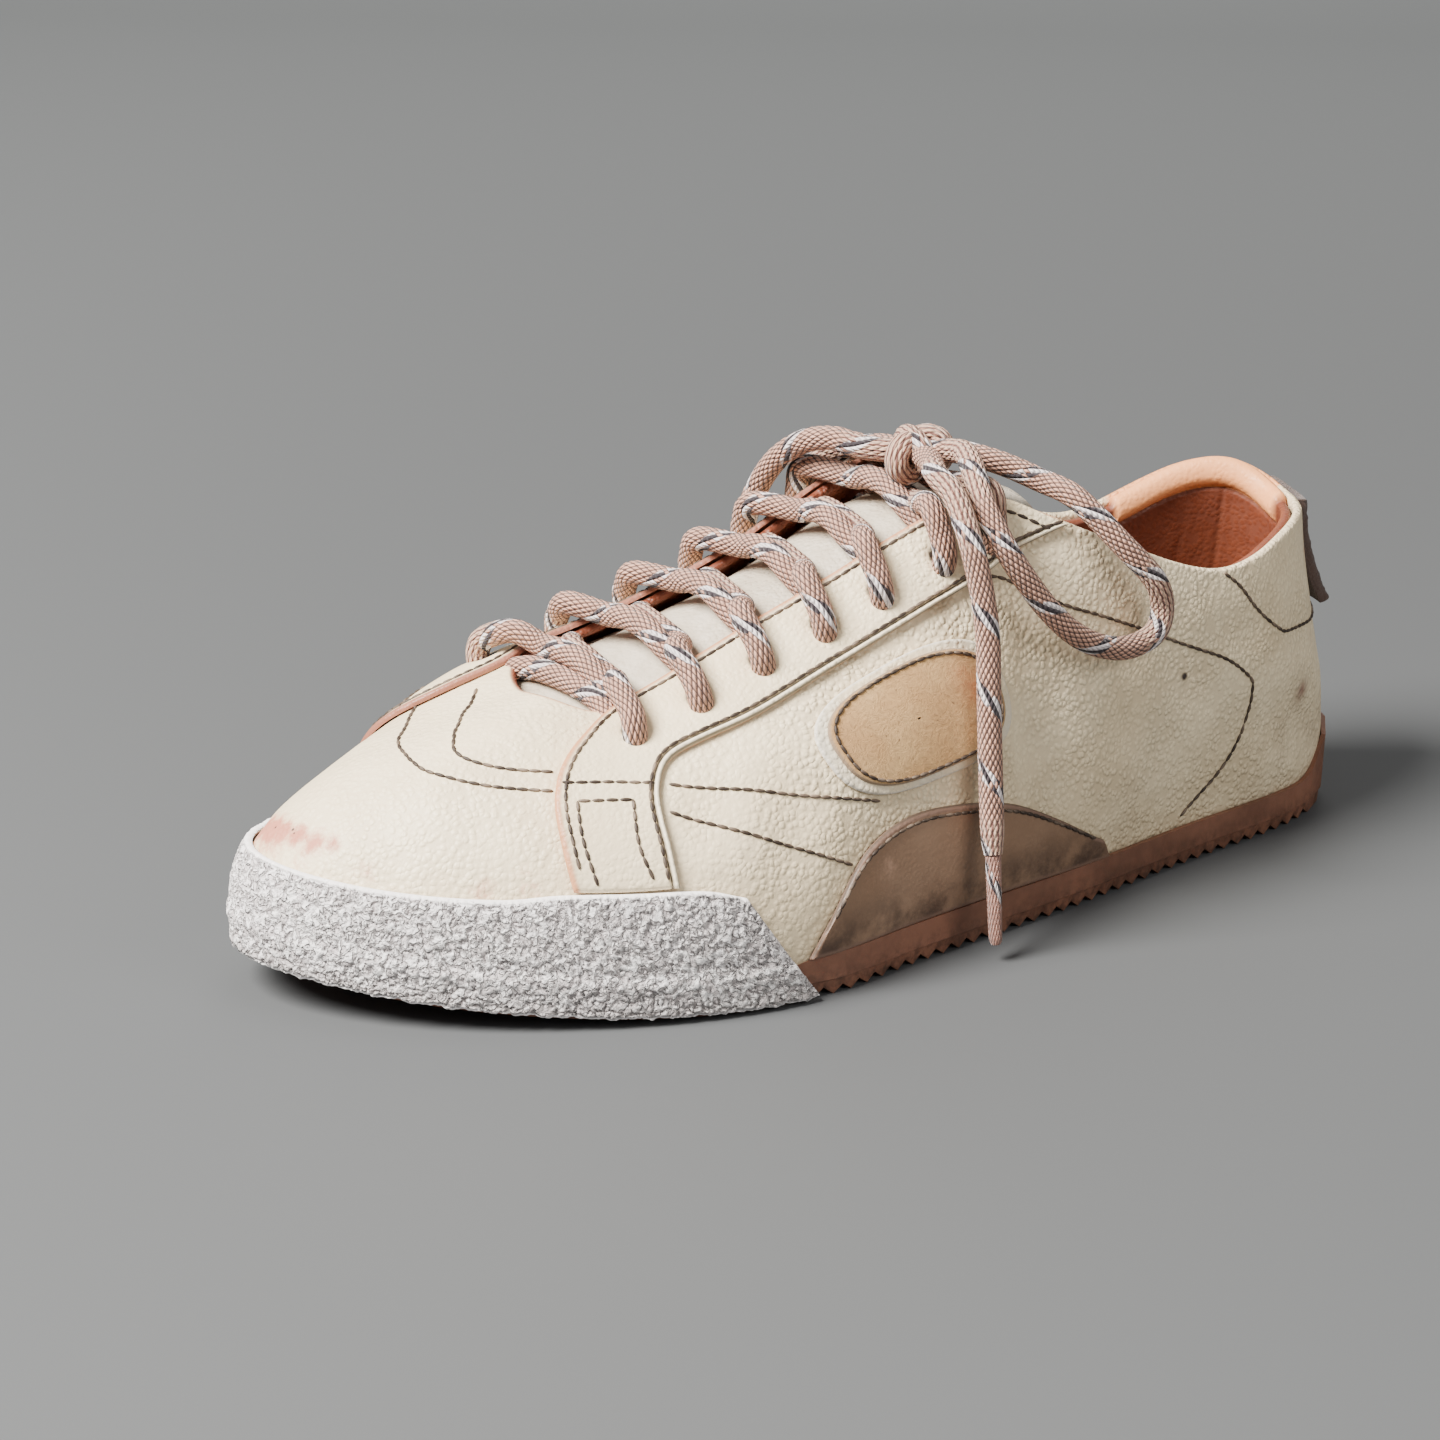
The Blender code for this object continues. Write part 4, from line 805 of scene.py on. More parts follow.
# soft round marks: each place is u, h, radius in metres and strength
def spotMark(u, h, places):
    spot = skin(u, h)
    mark = np.zeros(spot.shape[:-1])
    for placeU, placeH, radius, strength in places:
        gap = np.linalg.norm(spot - skin(placeU, placeH), axis=-1)
        mark = np.maximum(mark, strength * np.exp(-(gap / radius) ** 2))
    return mark


# the crease colour is painted shade in the grain's valleys; the dirt colour is dirt in places and painted
# shade in the folds
leather = {"light": "#f9e7c3", "shade": "#eedab5", "crease": "#a08a6c", "valley": 0.34, "pebble": 0.0014,
           "toeGrain": 0.5, "roughness": 0.48, "bump": 1.0,
           "dirtAndShade": "#a39079", "flesh": "#c8836d", "stain": "#936f5f",
           "rawEdge": "#cc9068", "cutEdge": "#f5e6c8", "inside": "#7a3f2a", "band": "#f5a66c"}
smoothLeather = dict(leather, pebble=0.0012, bump=0.6, valley=0.16)
# scraped spots: u, h, radius in metres and strength
toeScuffs = [(16.25, 0.275, 0.005, 0.55), (15.95, 0.295, 0.005, 0.7), (15.65, 0.312, 0.005, 0.75),
             (15.4, 0.325, 0.004, 0.7), (15.15, 0.335, 0.004, 0.65), (14.9, 0.335, 0.004, 0.6),
             (14.7, 0.345, 0.003, 0.5), (15.5, 0.285, 0.008, 0.42), (14.95, 0.30, 0.006, 0.35),
             (17.6, 0.33, 0.006, 0.5), (14.2, 0.29, 0.004, 0.35), (12.55, 0.36, 0.0035, 0.28),
             (12.45, 0.31, 0.0045, 0.32), (0.3, 0.30, 0.006, 0.35), (12.9, 0.29, 0.004, 0.4),
             (20.4, 0.30, 0.006, 0.45), (1.1, 0.86, 0.005, 0.35), (24.6, 0.22, 0.006, 0.4)]
cutEdge = {"round": 0.0011, "from": 0.0016, "full": 0.0007}  # cut rim of the upper, in metres from it


# the upper: one wall of leather, grained and creased outside, cut and rounded at its rim
def buildUpper():
    pinholes = [(over(3.58, 0.60, 0.0), 0.0011),
                (over(15.28, 0.345, 0.0), 0.0004), (over(15.22, 0.337, 0.0), 0.0003),
                (over(15.62, 0.325, 0.0), 0.0003), (over(2.05, 0.47, 0.0), 0.0003)]
    material = creamLeather("pebbledCowhide", leather, pinholes)
    u = np.linspace(0.0, around, 520, endpoint=False)[:, None]
    h = edgedSpacing(96, 0.45)[None, :]
    spot = skin(u, h)
    normal = skinNormal(u, h)
    depth = creaseDepth(u, h)
    lift = swell["height"] * grainNoise(spot, swell["size"], 3) - depth
    top = topEdge(u[:, 0])[:, None, :]
    fromTop = np.linalg.norm(spot - top, axis=-1)
    roll = (1.0 - rollOff(fromTop, cutEdge["round"])) * last["wall"] * 0.5
    outer = spot + normal * (lift - roll)[..., None]
    innerRoll = (1.0 - rollOff(fromTop, cutEdge["round"])) * last["wall"] * 0.4
    inner = spot - normal * (last["wall"] - innerRoll - np.minimum(lift, 0.0))[..., None]
    edge = ease(-fromTop, -cutEdge["from"], -cutEdge["full"]) + 0.0 * u
    banded = ease(u, 27.38, 27.46) + 0.0 * h
    collar = 1.0 - ease(np.minimum(u, around - u), 4.7, 5.0) + 0.0 * h
    farThroat = ease(u, 15.2, 16.0) * (1.0 - ease(u, 25.0, 25.4)) + 0.0 * h
    # darker along the foot and low round the heel, painted shade in the creases, and a few smudges
    dirtAndShade = 0.45 * ease(-h, -0.10, -0.0) + 0.35 * ease(depth, 0.0003, 0.0012)
    dirtAndShade = dirtAndShade + 0.35 * ease(-np.minimum(u, around - u), -2.6, -0.6) * ease(-h, -0.5, -0.1)
    dirtAndShade = dirtAndShade + spotMark(u, h, [
        (1.80, 0.38, 0.006, 0.6), (3.58, 0.60, 0.003, 0.35), (2.3, 0.22, 0.012, 0.4),
        (1.2, 0.30, 0.014, 0.35), (4.2, 0.15, 0.012, 0.3), (10.2, 0.30, 0.01, 0.25)])
    flat = np.zeros(spot.shape[:2])
    piece = shellPiece("upperLeather", outer, inner, material, ring=True, marks={
        "dirtAndShade": (dirtAndShade + flat, flat), "scuff": (1.3 * spotMark(u, h, toeScuffs), flat),
        "stain": (spotMark(u, h, [
            (1.80, 0.38, 0.0021, 1.0), (1.45, 0.55, 0.0018, 0.25)]), flat),
        "edge": (0.8 * edge * ease(np.minimum(u, around - u), 4.9, 5.3) * (1.0 - farThroat), flat),
        "inside": (edge * farThroat, 1.0 - ease(-fromTop, -0.0045, -0.0035) * collar),
        "band": (ease(-fromTop, -0.0030, -0.0018) * banded, ease(-fromTop, -0.012, -0.008) * banded)})
    return ride(piece, ["upper"])


buildUpper()
print("upper done")


# in metres: dimple round each eyelet and the dark disc painted as the shade in its hole, and the pressed
# groove inside a lip
eyelet = {"sink": 0.0009, "reach": 0.0030, "holeFrom": 0.0031, "holeFull": 0.0024}
lipGroove = {"from": 0.0015, "width": 0.0003, "line": 0.00028, "sink": 0.0005, "rise": 0.0004}


# leather overlay on the skin between two lines, with rounded cut edges
def slab(name, first, second, material, base, thick, flip=False, shape=(220, 30), radius=0.0011, marks=None,
         wave=0.0, lip=False):
    share = edgedSpacing(shape[1], 0.75)[None, :, None]
    grid = first[:, None, :] * (1 - share) + second[:, None, :] * share
    u = around - grid[..., 0] if flip else grid[..., 0]
    h = grid[..., 1]
    under = over(u, h, base)
    side, end = borderDistance(under)
    distance = np.minimum(side, end)
    lift = thick * (0.35 + 0.65 * rollOff(distance, radius))
    holeShades = np.zeros(u.shape)
    for placeU, placeH in eyelets:
        gap = np.linalg.norm(under - over(around - placeU if flip else placeU, placeH, base), axis=-1)
        lift = lift - eyelet["sink"] * np.exp(-(gap / eyelet["reach"]) ** 2) * (thick > 0.0010)
        # a dark disc painted at each eyelet as the shade inside its hole
        holeShades = np.maximum(holeShades, ease(-gap, -eyelet["holeFrom"], -eyelet["holeFull"]))
    if wave:
        lift = lift + wave * grainNoise(under, 0.010, 2)
    second = ease(share[..., 0], 0.49, 0.51) + 0.0 * u
    if lip:
        ditch = lipGroove["sink"] * np.exp(-((side - lipGroove["from"]) / lipGroove["width"]) ** 2)
        lift = lift + second * (lipGroove["rise"] * ease(-side, -0.0013, -0.0006) - ditch)
    outer = over(u, h, base + lift)
    flat = np.zeros(u.shape)
    edge = ease(-side, -0.0017, -0.0006)
    # painted shade along the lip's pressed groove, and a painted shadow line at the foot of the cut edge
    grooveShade = np.exp(-((side - lipGroove["from"]) / lipGroove["line"]) ** 2) * second if lip else flat
    allMarks = {"edge": (edge * (1.0 - second), flat + 1.0),
                "cutEdge": (ease(-side, -0.0014, -0.0010) * second, flat),
                "grooveShade": (np.maximum(0.95 * grooveShade, 0.8 * second * ease(-side, -0.0004, -0.0001)), flat),
                "holeShade": (holeShades, flat),
                # darker within 4 mm of its long sides
                "dirtAndShade": (0.35 * ease(-side, -0.004, -0.0005), flat)}
    for key, function in (marks or {}).items():
        allMarks[key] = (function(u, h), flat)
    return shellPiece(name, outer, under, material, marks=allMarks)


# lace facings, one the mirror of the other
def buildEyestays():
    first, second = strip(eyestayEdge, 260)
    material = creamLeather("smoothCowhide", smoothLeather)
    farMaterial = creamLeather("smoothCowhideFar", dict(smoothLeather, rawEdge="#9a6552"))
    for name, flip, finish in (("outer", False, material), ("inner", True, farMaterial)):
        piece = slab(name + "Eyestay", first, second, finish, last["seat"], last["overlay"] + 0.0001,
                     flip, (300, 52), lip=True,
                     marks={"scuff": lambda u, h: spotMark(u, h, [(12.2, 0.40, 0.004, 0.5)])})
        ride(piece, ["eyestay_" + name + "_side"])


buildEyestays()
print("eyestays done")

bumper = {"rear": 9.17, "thick": 0.0015, "foot": 0.0012, "crumb": 0.0021, "relief": 0.00055, "lip": 0.0009,
          "rim": 0.0080, "ragged": 0.0006, "round": 0.0010}


# rubber band round the toe with a cracked, crumbly skin and a ragged lower edge
def buildBumper(bumper):
    line = route(bumperTop, 400)
    share = np.linspace(0.0, 1.0, 760)
    footU = bumper["rear"] + share * (around - 2 * bumper["rear"])
    topU = line[0, 0] + share * (line[-1, 0] - line[0, 0])
    topH = np.interp(topU, line[:, 0], line[:, 1])
    top = skin(topU, topH)
    topHeight = top[:, 2] - ground(skin(topU, 0.0)[:, 0])
    levels = edgedSpacing(78, 0.3)
    u = footU[:, None] * (1 - levels) + topU[:, None] * levels
    ragged = bumper["ragged"] * grainNoise(np.stack([share * 0.32, share * 0, share * 0], -1), 0.0035, 3)
    height = (bumper["foot"] + ragged[:, None]) * (1 - levels) + topHeight[:, None] * levels
    lip = bumper["lip"] + 0.0005
    clear = ease(height, bumper["rim"] + 0.0005, bumper["rim"] + 0.0035)
    out = lip + (last["seat"] - lip) * clear
    h = coarseShare(u, height)
    normal = skinNormal(u, np.maximum(h, 0.02))
    under = skin(u, h) + normal * out[..., None]
    under[..., 2] += np.minimum(height - last["footbed"], 0.0)
    side, end = borderDistance(under)
    distance = np.minimum(side, end)
    crack = np.abs(grainNoise(under, bumper["crumb"], 3))
    rough = grainNoise(under, bumper["crumb"] * 0.55, 2)
    hill = ease(crack, 0.02, 0.22) + 0.35 * rough
    lift = bumper["thick"] * (0.3 + 0.7 * rollOff(distance, bumper["round"]))
    lift = lift + bumper["relief"] * (hill - 0.75) * rollOff(distance, 0.002)
    outer = under + normal * lift[..., None]
    flat = np.zeros(u.shape)
    # the low parts of the relief are painted darker as shade
    pitShade = 0.30 * (1.0 - ease(hill, 0.15, 0.85))
    piece = shellPiece("toeBumper", outer, under, chalkRubber("crackedChalkRubber"), marks={
        # the foot darkens over its lowest 7 mm
        "pitShade": (pitShade, flat), "dirtAndShade": (0.75 * ease(-height, -0.007, -0.001), flat),
        "edge": (ease(-side, -0.0013, -0.0006), flat)}, crease=80.0)
    return ride(piece, ["toe_bumper"])


buildBumper(bumper)
print("bumper done")

# its crease colour is painted shade in the grain's valleys
archLeather = dict(leather, light="#9a7c64", shade="#8a6c54", crease="#806351",
                   valley=0.12, pebble=0.0011, bump=0.2,
                   rawEdge="#7d6253", cutEdge="#7d6253", roughness=0.5, dirtAndShade="#3d2a20", flesh="#b8937b")


# low brown overlay on the outer side, above the sole
def buildArchPatch():
    first, second = strip(archEdge, 150)
    material = creamLeather("archCowhide", archLeather)
    piece = slab("archPatch", first, second, material, last["seat"], last["overlay"], shape=(150, 44),
                 marks={"scuff": lambda u, h: spotMark(
                     u, h, [(8.2, 0.22, 0.004, 0.5), (6.6, 0.12, 0.004, 0.4)]),
                        # darker towards the bottom
                        "dirtAndShade": lambda u, h: 0.9 * ease(-h, -0.20, -0.05)})
    return ride(piece, ["arch_patch"])


buildArchPatch()

patch = {"middle": (7.6, 0.545), "reach": (1.25, 0.165), "lean": 0.25, "power": 0.75, "suedeShare": 0.88}
patchSuede = {"light": "#cca46f", "shade": "#ba8f5c", "deep": "#8f6c46", "fleck": "#533a25",
              "stain": "#c4612f", "rawEdge": "#8f7860", "nap": 0.0003}
tabSuede = {"light": "#54403a", "shade": "#3f2e29", "deep": "#261a17", "fleck": "#7c6154", "stain": "#46352e",
            "rawEdge": "#5d483f", "nap": 0.0009}


# rounded leaning plate on the skin, closed at its middle
def patchLayer(name, material, grow, base, thick, marks=None):
    turns = np.linspace(0.0, 2 * math.pi, 220, endpoint=False)[:, None]
    rings = np.concatenate([np.linspace(0.02, 0.9, 26), 0.9 + 0.1 * np.linspace(0.15, 1.0, 9)])[None, :]
    along = np.sign(np.cos(turns)) * np.abs(np.cos(turns)) ** patch["power"]
    rise = np.sign(np.sin(turns)) * np.abs(np.sin(turns)) ** patch["power"]
    u = patch["middle"][0] + patch["reach"][0] * (along + patch["lean"] * rise) * rings * grow
    h = patch["middle"][1] + patch["reach"][1] * rise * rings * grow
    under = over(u, h, base)
    gone = np.linalg.norm(under - under[:, -1:, :], axis=-1)
    lift = thick * (0.3 + 0.7 * rollOff(gone, 0.0009))
    outer = over(u, h, base + lift)
    flat = np.zeros(u.shape)
    allMarks = {"edge": (ease(-gone, -0.0007, -0.0002), flat + 1.0)}
    for key, function in (marks or {}).items():
        allMarks[key] = (function(u, h), flat)
    piece = shellPiece(name, outer, under, material, ring=True, marks=allMarks)
    work = bmesh.new()
    work.from_mesh(piece.data)
    bmesh.ops.holes_fill(work, edges=[e for e in work.edges if e.is_boundary], sides=0)
    work.to_mesh(piece.data)
    work.free()
    return piece


# suede plate on a cream backing a little larger
def buildSidePatch():
    backing = creamLeather("patchBacking", dict(smoothLeather, light="#e4dccb", rawEdge="#d8cfc0"))
    piece = patchLayer("patchBacking", backing, 1.0, last["seat"], 0.0007)
    ride(piece, ["side_patch"])
    top = suede("patchSuede", patchSuede)
    piece = patchLayer("patchSuede", top, patch["suedeShare"], last["seat"] + 0.00072, 0.0009, marks={
        "stain": lambda u, h: spotMark(u, h, [(6.85, 0.56, 0.004, 0.55), (6.7, 0.53, 0.0025, 0.5),
                                              (7.0, 0.60, 0.003, 0.3)])})
    return ride(piece, ["side_patch"])


buildSidePatch()
print("patches done")

lining = {"to": 4.7, "depth": 0.45, "thick": 0.0025, "band": 0.915, "bandFrom": -2.58, "bandTo": 0.4}
# its crease colour is painted shade in the grain's valleys, and its dirt colour also paints shade in the
# folds
liningLeather = dict(leather, light="#82452d", shade="#6c3623", crease="#5f2f1e",
                     valley=0.2, pebble=0.0012, bump=0.25,
                     rawEdge="#b0684a", inside="#84452d", dirtAndShade="#6f3c28", flesh="#d49a7c", stain="#8a5643",
                     roughness=0.5)


# brown calf inside the heel with upright folds, and a rolled band along the collar
def buildLining(lining):
    material = creamLeather("liningCalf", liningLeather)
    u = np.linspace(-lining["to"], lining["to"], 300)[:, None]
    h = edgedSpacing(76, 0.5)[None, :] * (1.0 - lining["depth"]) + lining["depth"]
    back = last["wall"] + last["seat"]
    spot = over(u, h, -back)
    wrinkle = 0.0005 * grainNoise(spot * np.array([1.0, 1.0, 0.35]), 0.010, 3)
    # upright folds: place and share of the depth
    for placeU, deep in ((-1.75, 0.5), (-1.2, 0.8), (-0.55, 0.4), (0.35, 0.7), (1.9, 0.5)):
        wrinkle = wrinkle + 0.0006 * deep * np.exp(-((u - placeU - 0.05 * np.sin(9 * h)) / 0.05) ** 2)
    top = over(u, np.ones_like(h), -back)
    fromTop = np.linalg.norm(spot - top, axis=-1)
    roll = (1.0 - rollOff(fromTop, 0.0012)) * 0.0011
    onBand = ease(u, lining["bandFrom"] - 0.02, lining["bandFrom"] + 0.02)
    onBand = onBand * (1 - ease(u, lining["bandTo"], lining["bandTo"] + 0.15))
    band = ease(h, lining["band"] - 0.004, lining["band"] + 0.004) * onBand
    share = np.clip((h - lining["band"]) / (1.0 - lining["band"]), 0.0, 1.0)
    bulge = 0.0016 * np.sin(math.pi * share) * onBand
    ditch = 0.0006 * np.exp(-((h - lining["band"]) / 0.006) ** 2) * onBand
    far = over(u, h, -back - lining["thick"] + wrinkle * 0.6 * (1 - band) - bulge + ditch + roll)
    near = over(u, h, -back - roll)
    rise = (0.0010 * onBand - 0.0009 * (1 - onBand)) * ease(h, 0.95, 1.0)
    far[..., 2] += rise
    near[..., 2] += rise
    flat = np.zeros(spot.shape[:2])
    piece = shellPiece("collarLining", near, far, material, marks={
        "edge": (flat, flat),
        "band": (onBand * ease(-fromTop, -0.010, -0.006), band),
        # painted shade in the ditch along the band's lower edge
        "grooveShade": (flat, 0.5 * np.exp(-((h - lining["band"]) / 0.003) ** 2) * onBand),
        # darker along the top off the band, and painted shade in the troughs of the folds
        "dirtAndShade": (flat, 0.35 * ease(h, 0.93, 0.99) * (1 - onBand) + 0.6 * ease(wrinkle, 0.0003, 0.0006))})
    return ride(piece, ["collar_lining"])


buildLining(lining)

tab = {"reach": 0.42, "from": 0.56, "to": 0.985, "thick": 0.0030, "flare": 0.0040}


# suede tab on the back of the heel that stands off at its lower end
def buildTab(tab):
    material = suede("tabSuede", tabSuede)
    u = (tab["reach"] * (2 * edgedSpacing(40, 0.6) - 1))[:, None]
    h = (tab["from"] + (tab["to"] - tab["from"]) * edgedSpacing(56, 0.6))[None, :]
    away = last["seat"] + tab["flare"] * ((tab["to"] - h) / (tab["to"] - tab["from"])) ** 2 + 0.0 * u
    under = over(u, h, away)
    side, end = borderDistance(under)
    distance = np.minimum(side, end)
    fuzz = 0.0003 * grainNoise(under, 0.0014, 3)
    lift = tab["thick"] * (0.45 + 0.55 * rollOff(distance, 0.0012)) + fuzz
    flat = np.zeros(under.shape[:2])
    piece = shellPiece("pullTab", over(u, h, away + lift), under, material, marks={
        "edge": (0.7 * ease(-distance, -0.0009, -0.0002), flat + 0.4), "stain": (flat, flat)})
    return ride(piece, ["heel_pull_tab"])


buildTab(tab)
print("lining and tab done")

tongue = {"thick": 0.0025, "tip": 0.012}


# point of the tongue: v runs from -1 to 1 across it
def tonguePoint(row, v, lift):
    drop = -(last["wall"] + last["seat"] + tongue["thick"] / 2)
    outer = over(row[0], row[1], drop)
    inner = over(around - row[0], row[1], drop)
    middle = 0.5 * (topEdge(row[0]) + topEdge(around - row[0]))
    middle = middle + np.array([-row[3] * last["length"], 0.0, row[2] * last["instep"]])
    return outer * v * (v - 1) / 2 + middle * (1 - v * v) + inner * v * (v + 1) / 2 + lift


# plain leather tongue, rounded at its tip
def buildTongue():
    rows = route(tongueRows, 110)
    across = np.linspace(-1.0, 1.0, 56)
    grid = np.array([[tonguePoint(row, v, 0.0) for v in across] for row in rows])
    step = grid[-1] - grid[-2]
    step = step / np.linalg.norm(step, axis=-1, keepdims=True)
    reach = tongue["tip"] * (1 - 0.75 * across[:, None] ** 2)
    tips = [grid[-1] + step * reach * share for share in np.linspace(0.12, 1.0, 10)]
    grid = np.concatenate([grid, np.array(tips)])
    along = np.gradient(grid, axis=0)
    sideways = np.gradient(grid, axis=1)
    normal = np.cross(sideways, along)
    normal = normal / np.linalg.norm(normal, axis=-1, keepdims=True)
    normal = normal * np.sign(normal[..., 2:3])
    side, end = borderDistance(grid)
    distance = np.minimum(side, end)
    half = normal * (tongue["thick"] / 2 * (0.3 + 0.7 * rollOff(distance, 0.0014)))[..., None]
    pillow = 0.0004 * grainNoise(grid, 0.018, 2)[..., None] * normal
    material = creamLeather("tongueCowhide", dict(smoothLeather, light="#ddd3c1", shade="#cfc3b0",
                                                  inside="#a85c42", rawEdge="#c9907a"))
    flat = np.zeros(grid.shape[:2])
    piece = shellPiece("tongueLeather", grid + half + pillow, grid - half, material, marks={
        "edge": (ease(-distance, -0.0011, -0.0003), flat), "inside": (flat, flat + 1.0),
        # darkened evenly all over its outer face
        "dirtAndShade": (0.45 + flat, flat)})
    return ride(piece, ["tongue"])


buildTongue()
print("tongue done")

# the sole and the insole keep their solids and get their finish
soleFinish = gumRubber("gumRubberSole")
insoleFinish = creamLeather("insoleCalf", dict(liningLeather, light="#7d442d", shade="#6a3723"))
for nodeName, finish in (("outsole", soleFinish), ("insole", insoleFinish)):
    for obj in bpy.data.objects:
        if obj.name == nodeName or obj.name.startswith(nodeName + "."):
            if obj.type == "MESH" and obj.material_slots:
                for slotIndex in range(len(obj.material_slots)):
                    obj.material_slots[slotIndex].link = "OBJECT"
                    obj.material_slots[slotIndex].material = finish
print("sole done")

# laces: yarn count, and lengths in metres along the cord
# light is painted light on the yarns' crowns, deep the painted shade between them
cordLook = {"light": "#e0aa90", "deep": "#3d2622", "stripe": "#d3ae95", "core": "#6b4038",
            "yarns": 14, "pitch": 0.0024,
            "fleckEvery": 0.018, "fleckShare": 0.12, "stripeEvery": 0.085}
laceFinish = braid("braidedLace", cordLook)
# the last 20 mm of the cord, shrunk thin and glazed under a clear sleeve
sealedFinish = braid("sealedLaceEnd", dict(cordLook, light="#c99684", deep="#8d6256", stripe="#c99684",
                                           core="#8d6256"), 0.35)
# place across the tongue, then how high the under and the over strand ride there
strandRows = [(-0.45, 0.15, 0.70), (-0.15, 0.0, 0.75), (0.15, 0.0, 0.65), (0.42, 0.05, 0.30)]
laces = {"overDrift": 0.10, "underDrift": 0.75, "edgeHump": 0.22, "topLift": 0.25}


# where a lace lies on the tongue, raised by lift times its thickness
def laceFloor(u, v, lift):
    row = np.array([np.interp(-u, [-r[0] for r in tongueRows], [r[k] for r in tongueRows]) for k in range(4)])
    up = tongue["thick"] / 2 + 2 * last["gap"] + last["lace"] / 2 + lift * last["lace"]
    return tonguePoint(row, v, np.array([0.0, 0.0, up]))


# from under the leather up through the eyelet, then over the edge of the throat
def laceStart(u, h, fromInner):
    rest = last["seat"] + last["overlay"] + 2 * last["gap"] + last["lace"] / 2
    place = around - u if fromInner else u
    return [over(place, h - 0.035, -0.004), over(place, h - 0.03, 0.0005), over(place, h - 0.012, 0.0036),
            over(place, h + 0.03, rest + 0.0004), over(place, 1.0, rest + laces["edgeHump"] * last["lace"])]


# one strand, from an eyelet across to the next pair
def strandLine(number, fromInner):
    u, h = eyelets[number]
    span = eyelets[number + 1][0] - u
    points = laceStart(u, h, fromInner)
    for v, low, high in strandRows:
        if fromInner:
            points.append(laceFloor(u + span * laces["overDrift"], -v, high))
        else:
            points.append(laceFloor(u + span * laces["underDrift"] * (0.6 + 0.4 * v), v, low))
    if fromInner:
        points.append(laceFloor(u + span * (laces["overDrift"] + 0.1), -0.72, -0.25))
    else:
        points.append(laceFloor(u + span * 0.85, 0.72, -0.25))
    return route(points, 72)


# front bar, six crossings of two strands, and the strand under the knot
def buildLacing():
    u, h = eyelets[0]
    bar = [laceFloor(u + 0.15, v, -0.25 if abs(v) > 0.6 else 0.0) for v in np.linspace(-0.74, 0.74, 7)]
    piece, length = tubePiece("frontBarLace", route(bar, 48), last["lace"] / 2, laceFinish)
    ride(piece, ["lace_crossing_1"])
    for number in range(len(eyelets) - 1):
        for fromInner in (False, True):
            name = "laceStrand" + ("Over" if fromInner else "Under") + str(number + 1)
            piece, length = tubePiece(name, strandLine(number, fromInner), last["lace"] / 2, laceFinish)
            ride(piece, ["lace_crossing_" + str(number + 1)])
    u, h = eyelets[-1]
    outer = laceStart(u, h, False)
    inner = laceStart(u, h, True)
    middle = [laceFloor(u, v, laces["topLift"]) for v in (-0.3, 0.0, 0.3)]
    line = route(outer + middle + inner[::-1], 90)
    piece, length = tubePiece("topStrandLace", line, last["lace"] / 2, laceFinish)
    ride(piece, ["lace_top_strand"])


buildLacing()
print("lacing done")

# the bow's routes, point by point in metres, from the knot outwards
loopOuter = [
    (0.0248, -0.0060, 0.1020), (0.0320, -0.0130, 0.1000), (0.0385, -0.0210, 0.0965),
    (0.0415, -0.0300, 0.0940), (0.0480, -0.0385, 0.0845), (0.0550, -0.0420, 0.0760),
    (0.0585, -0.0412, 0.0688), (0.0560, -0.0420, 0.0633), (0.0482, -0.0425, 0.0613),
    (0.0389, -0.0430, 0.0633), (0.0300, -0.0430, 0.0685), (0.0220, -0.0420, 0.0767),
    (0.0150, -0.0392, 0.0876), (0.0132, -0.0330, 0.0963), (0.0152, -0.0268, 0.1012),
    (0.0186, -0.0198, 0.1040), (0.0205, -0.0132, 0.1042)]
loopInner = [
    (0.0248, 0.0010, 0.1020), (0.0310, 0.0070, 0.1005), (0.0360, 0.0150, 0.0990),
    (0.0400, 0.0250, 0.0965), (0.0430, 0.0335, 0.0900), (0.0450, 0.0375, 0.0820),
    (0.0460, 0.0390, 0.0740), (0.0430, 0.0398, 0.0670), (0.0360, 0.0400, 0.0635),
    (0.0280, 0.0400, 0.0655), (0.0205, 0.0392, 0.0720), (0.0150, 0.0370, 0.0815),
    (0.0125, 0.0315, 0.0910), (0.0130, 0.0230, 0.0970), (0.0155, 0.0140, 0.1000),
    (0.0170, 0.0090, 0.1010)]
endOuter = [
    (0.0128, -0.0131, 0.1030), (0.0080, -0.0215, 0.1025), (0.0068, -0.0300, 0.0995),
    (0.0057, -0.0375, 0.0910), (0.0065, -0.0410, 0.0800), (0.0068, -0.0430, 0.0702),
    (0.0060, -0.0448, 0.0600), (0.0050, -0.0472, 0.0456), (0.0040, -0.0495, 0.0343),
    (0.0030, -0.0518, 0.0238)]
endInner = [
    (0.0085, 0.0060, 0.1025), (0.0055, 0.0130, 0.1035), (0.0030, 0.0220, 0.1010),
    (0.0010, 0.0305, 0.0945), (-0.0005, 0.0365, 0.0850), (-0.0015, 0.0400, 0.0740),
    (-0.0025, 0.0425, 0.0620), (-0.0035, 0.0440, 0.0500), (-0.0045, 0.0455, 0.0380),
    (-0.0055, 0.0470, 0.0270)]
knot = {"place": (0.0165, -0.0030, 0.1015), "heart": (0.0165, -0.0030, 0.1022)}
sealedTip = {"gap": 0.0003, "length": 0.0198, "radius": 0.0018, "taper": 0.16}


# shrunk and glazed end of the lace, past the last point of its route
def buildTip(name, line, node):
    way = line[-1] - line[-3]
    way = way / np.linalg.norm(way)
    steps = np.linspace(0.0, 1.0, 30)
    path = line[-1] + way[None, :] * (sealedTip["gap"] + sealedTip["length"] * steps[:, None])
    taper = 1.0 - sealedTip["taper"] * steps
    taper[-2:] = (0.78, 0.6)
    piece, length = tubePiece(name, path, sealedTip["radius"], sealedFinish, taper=taper)
    return ride(piece, [node])
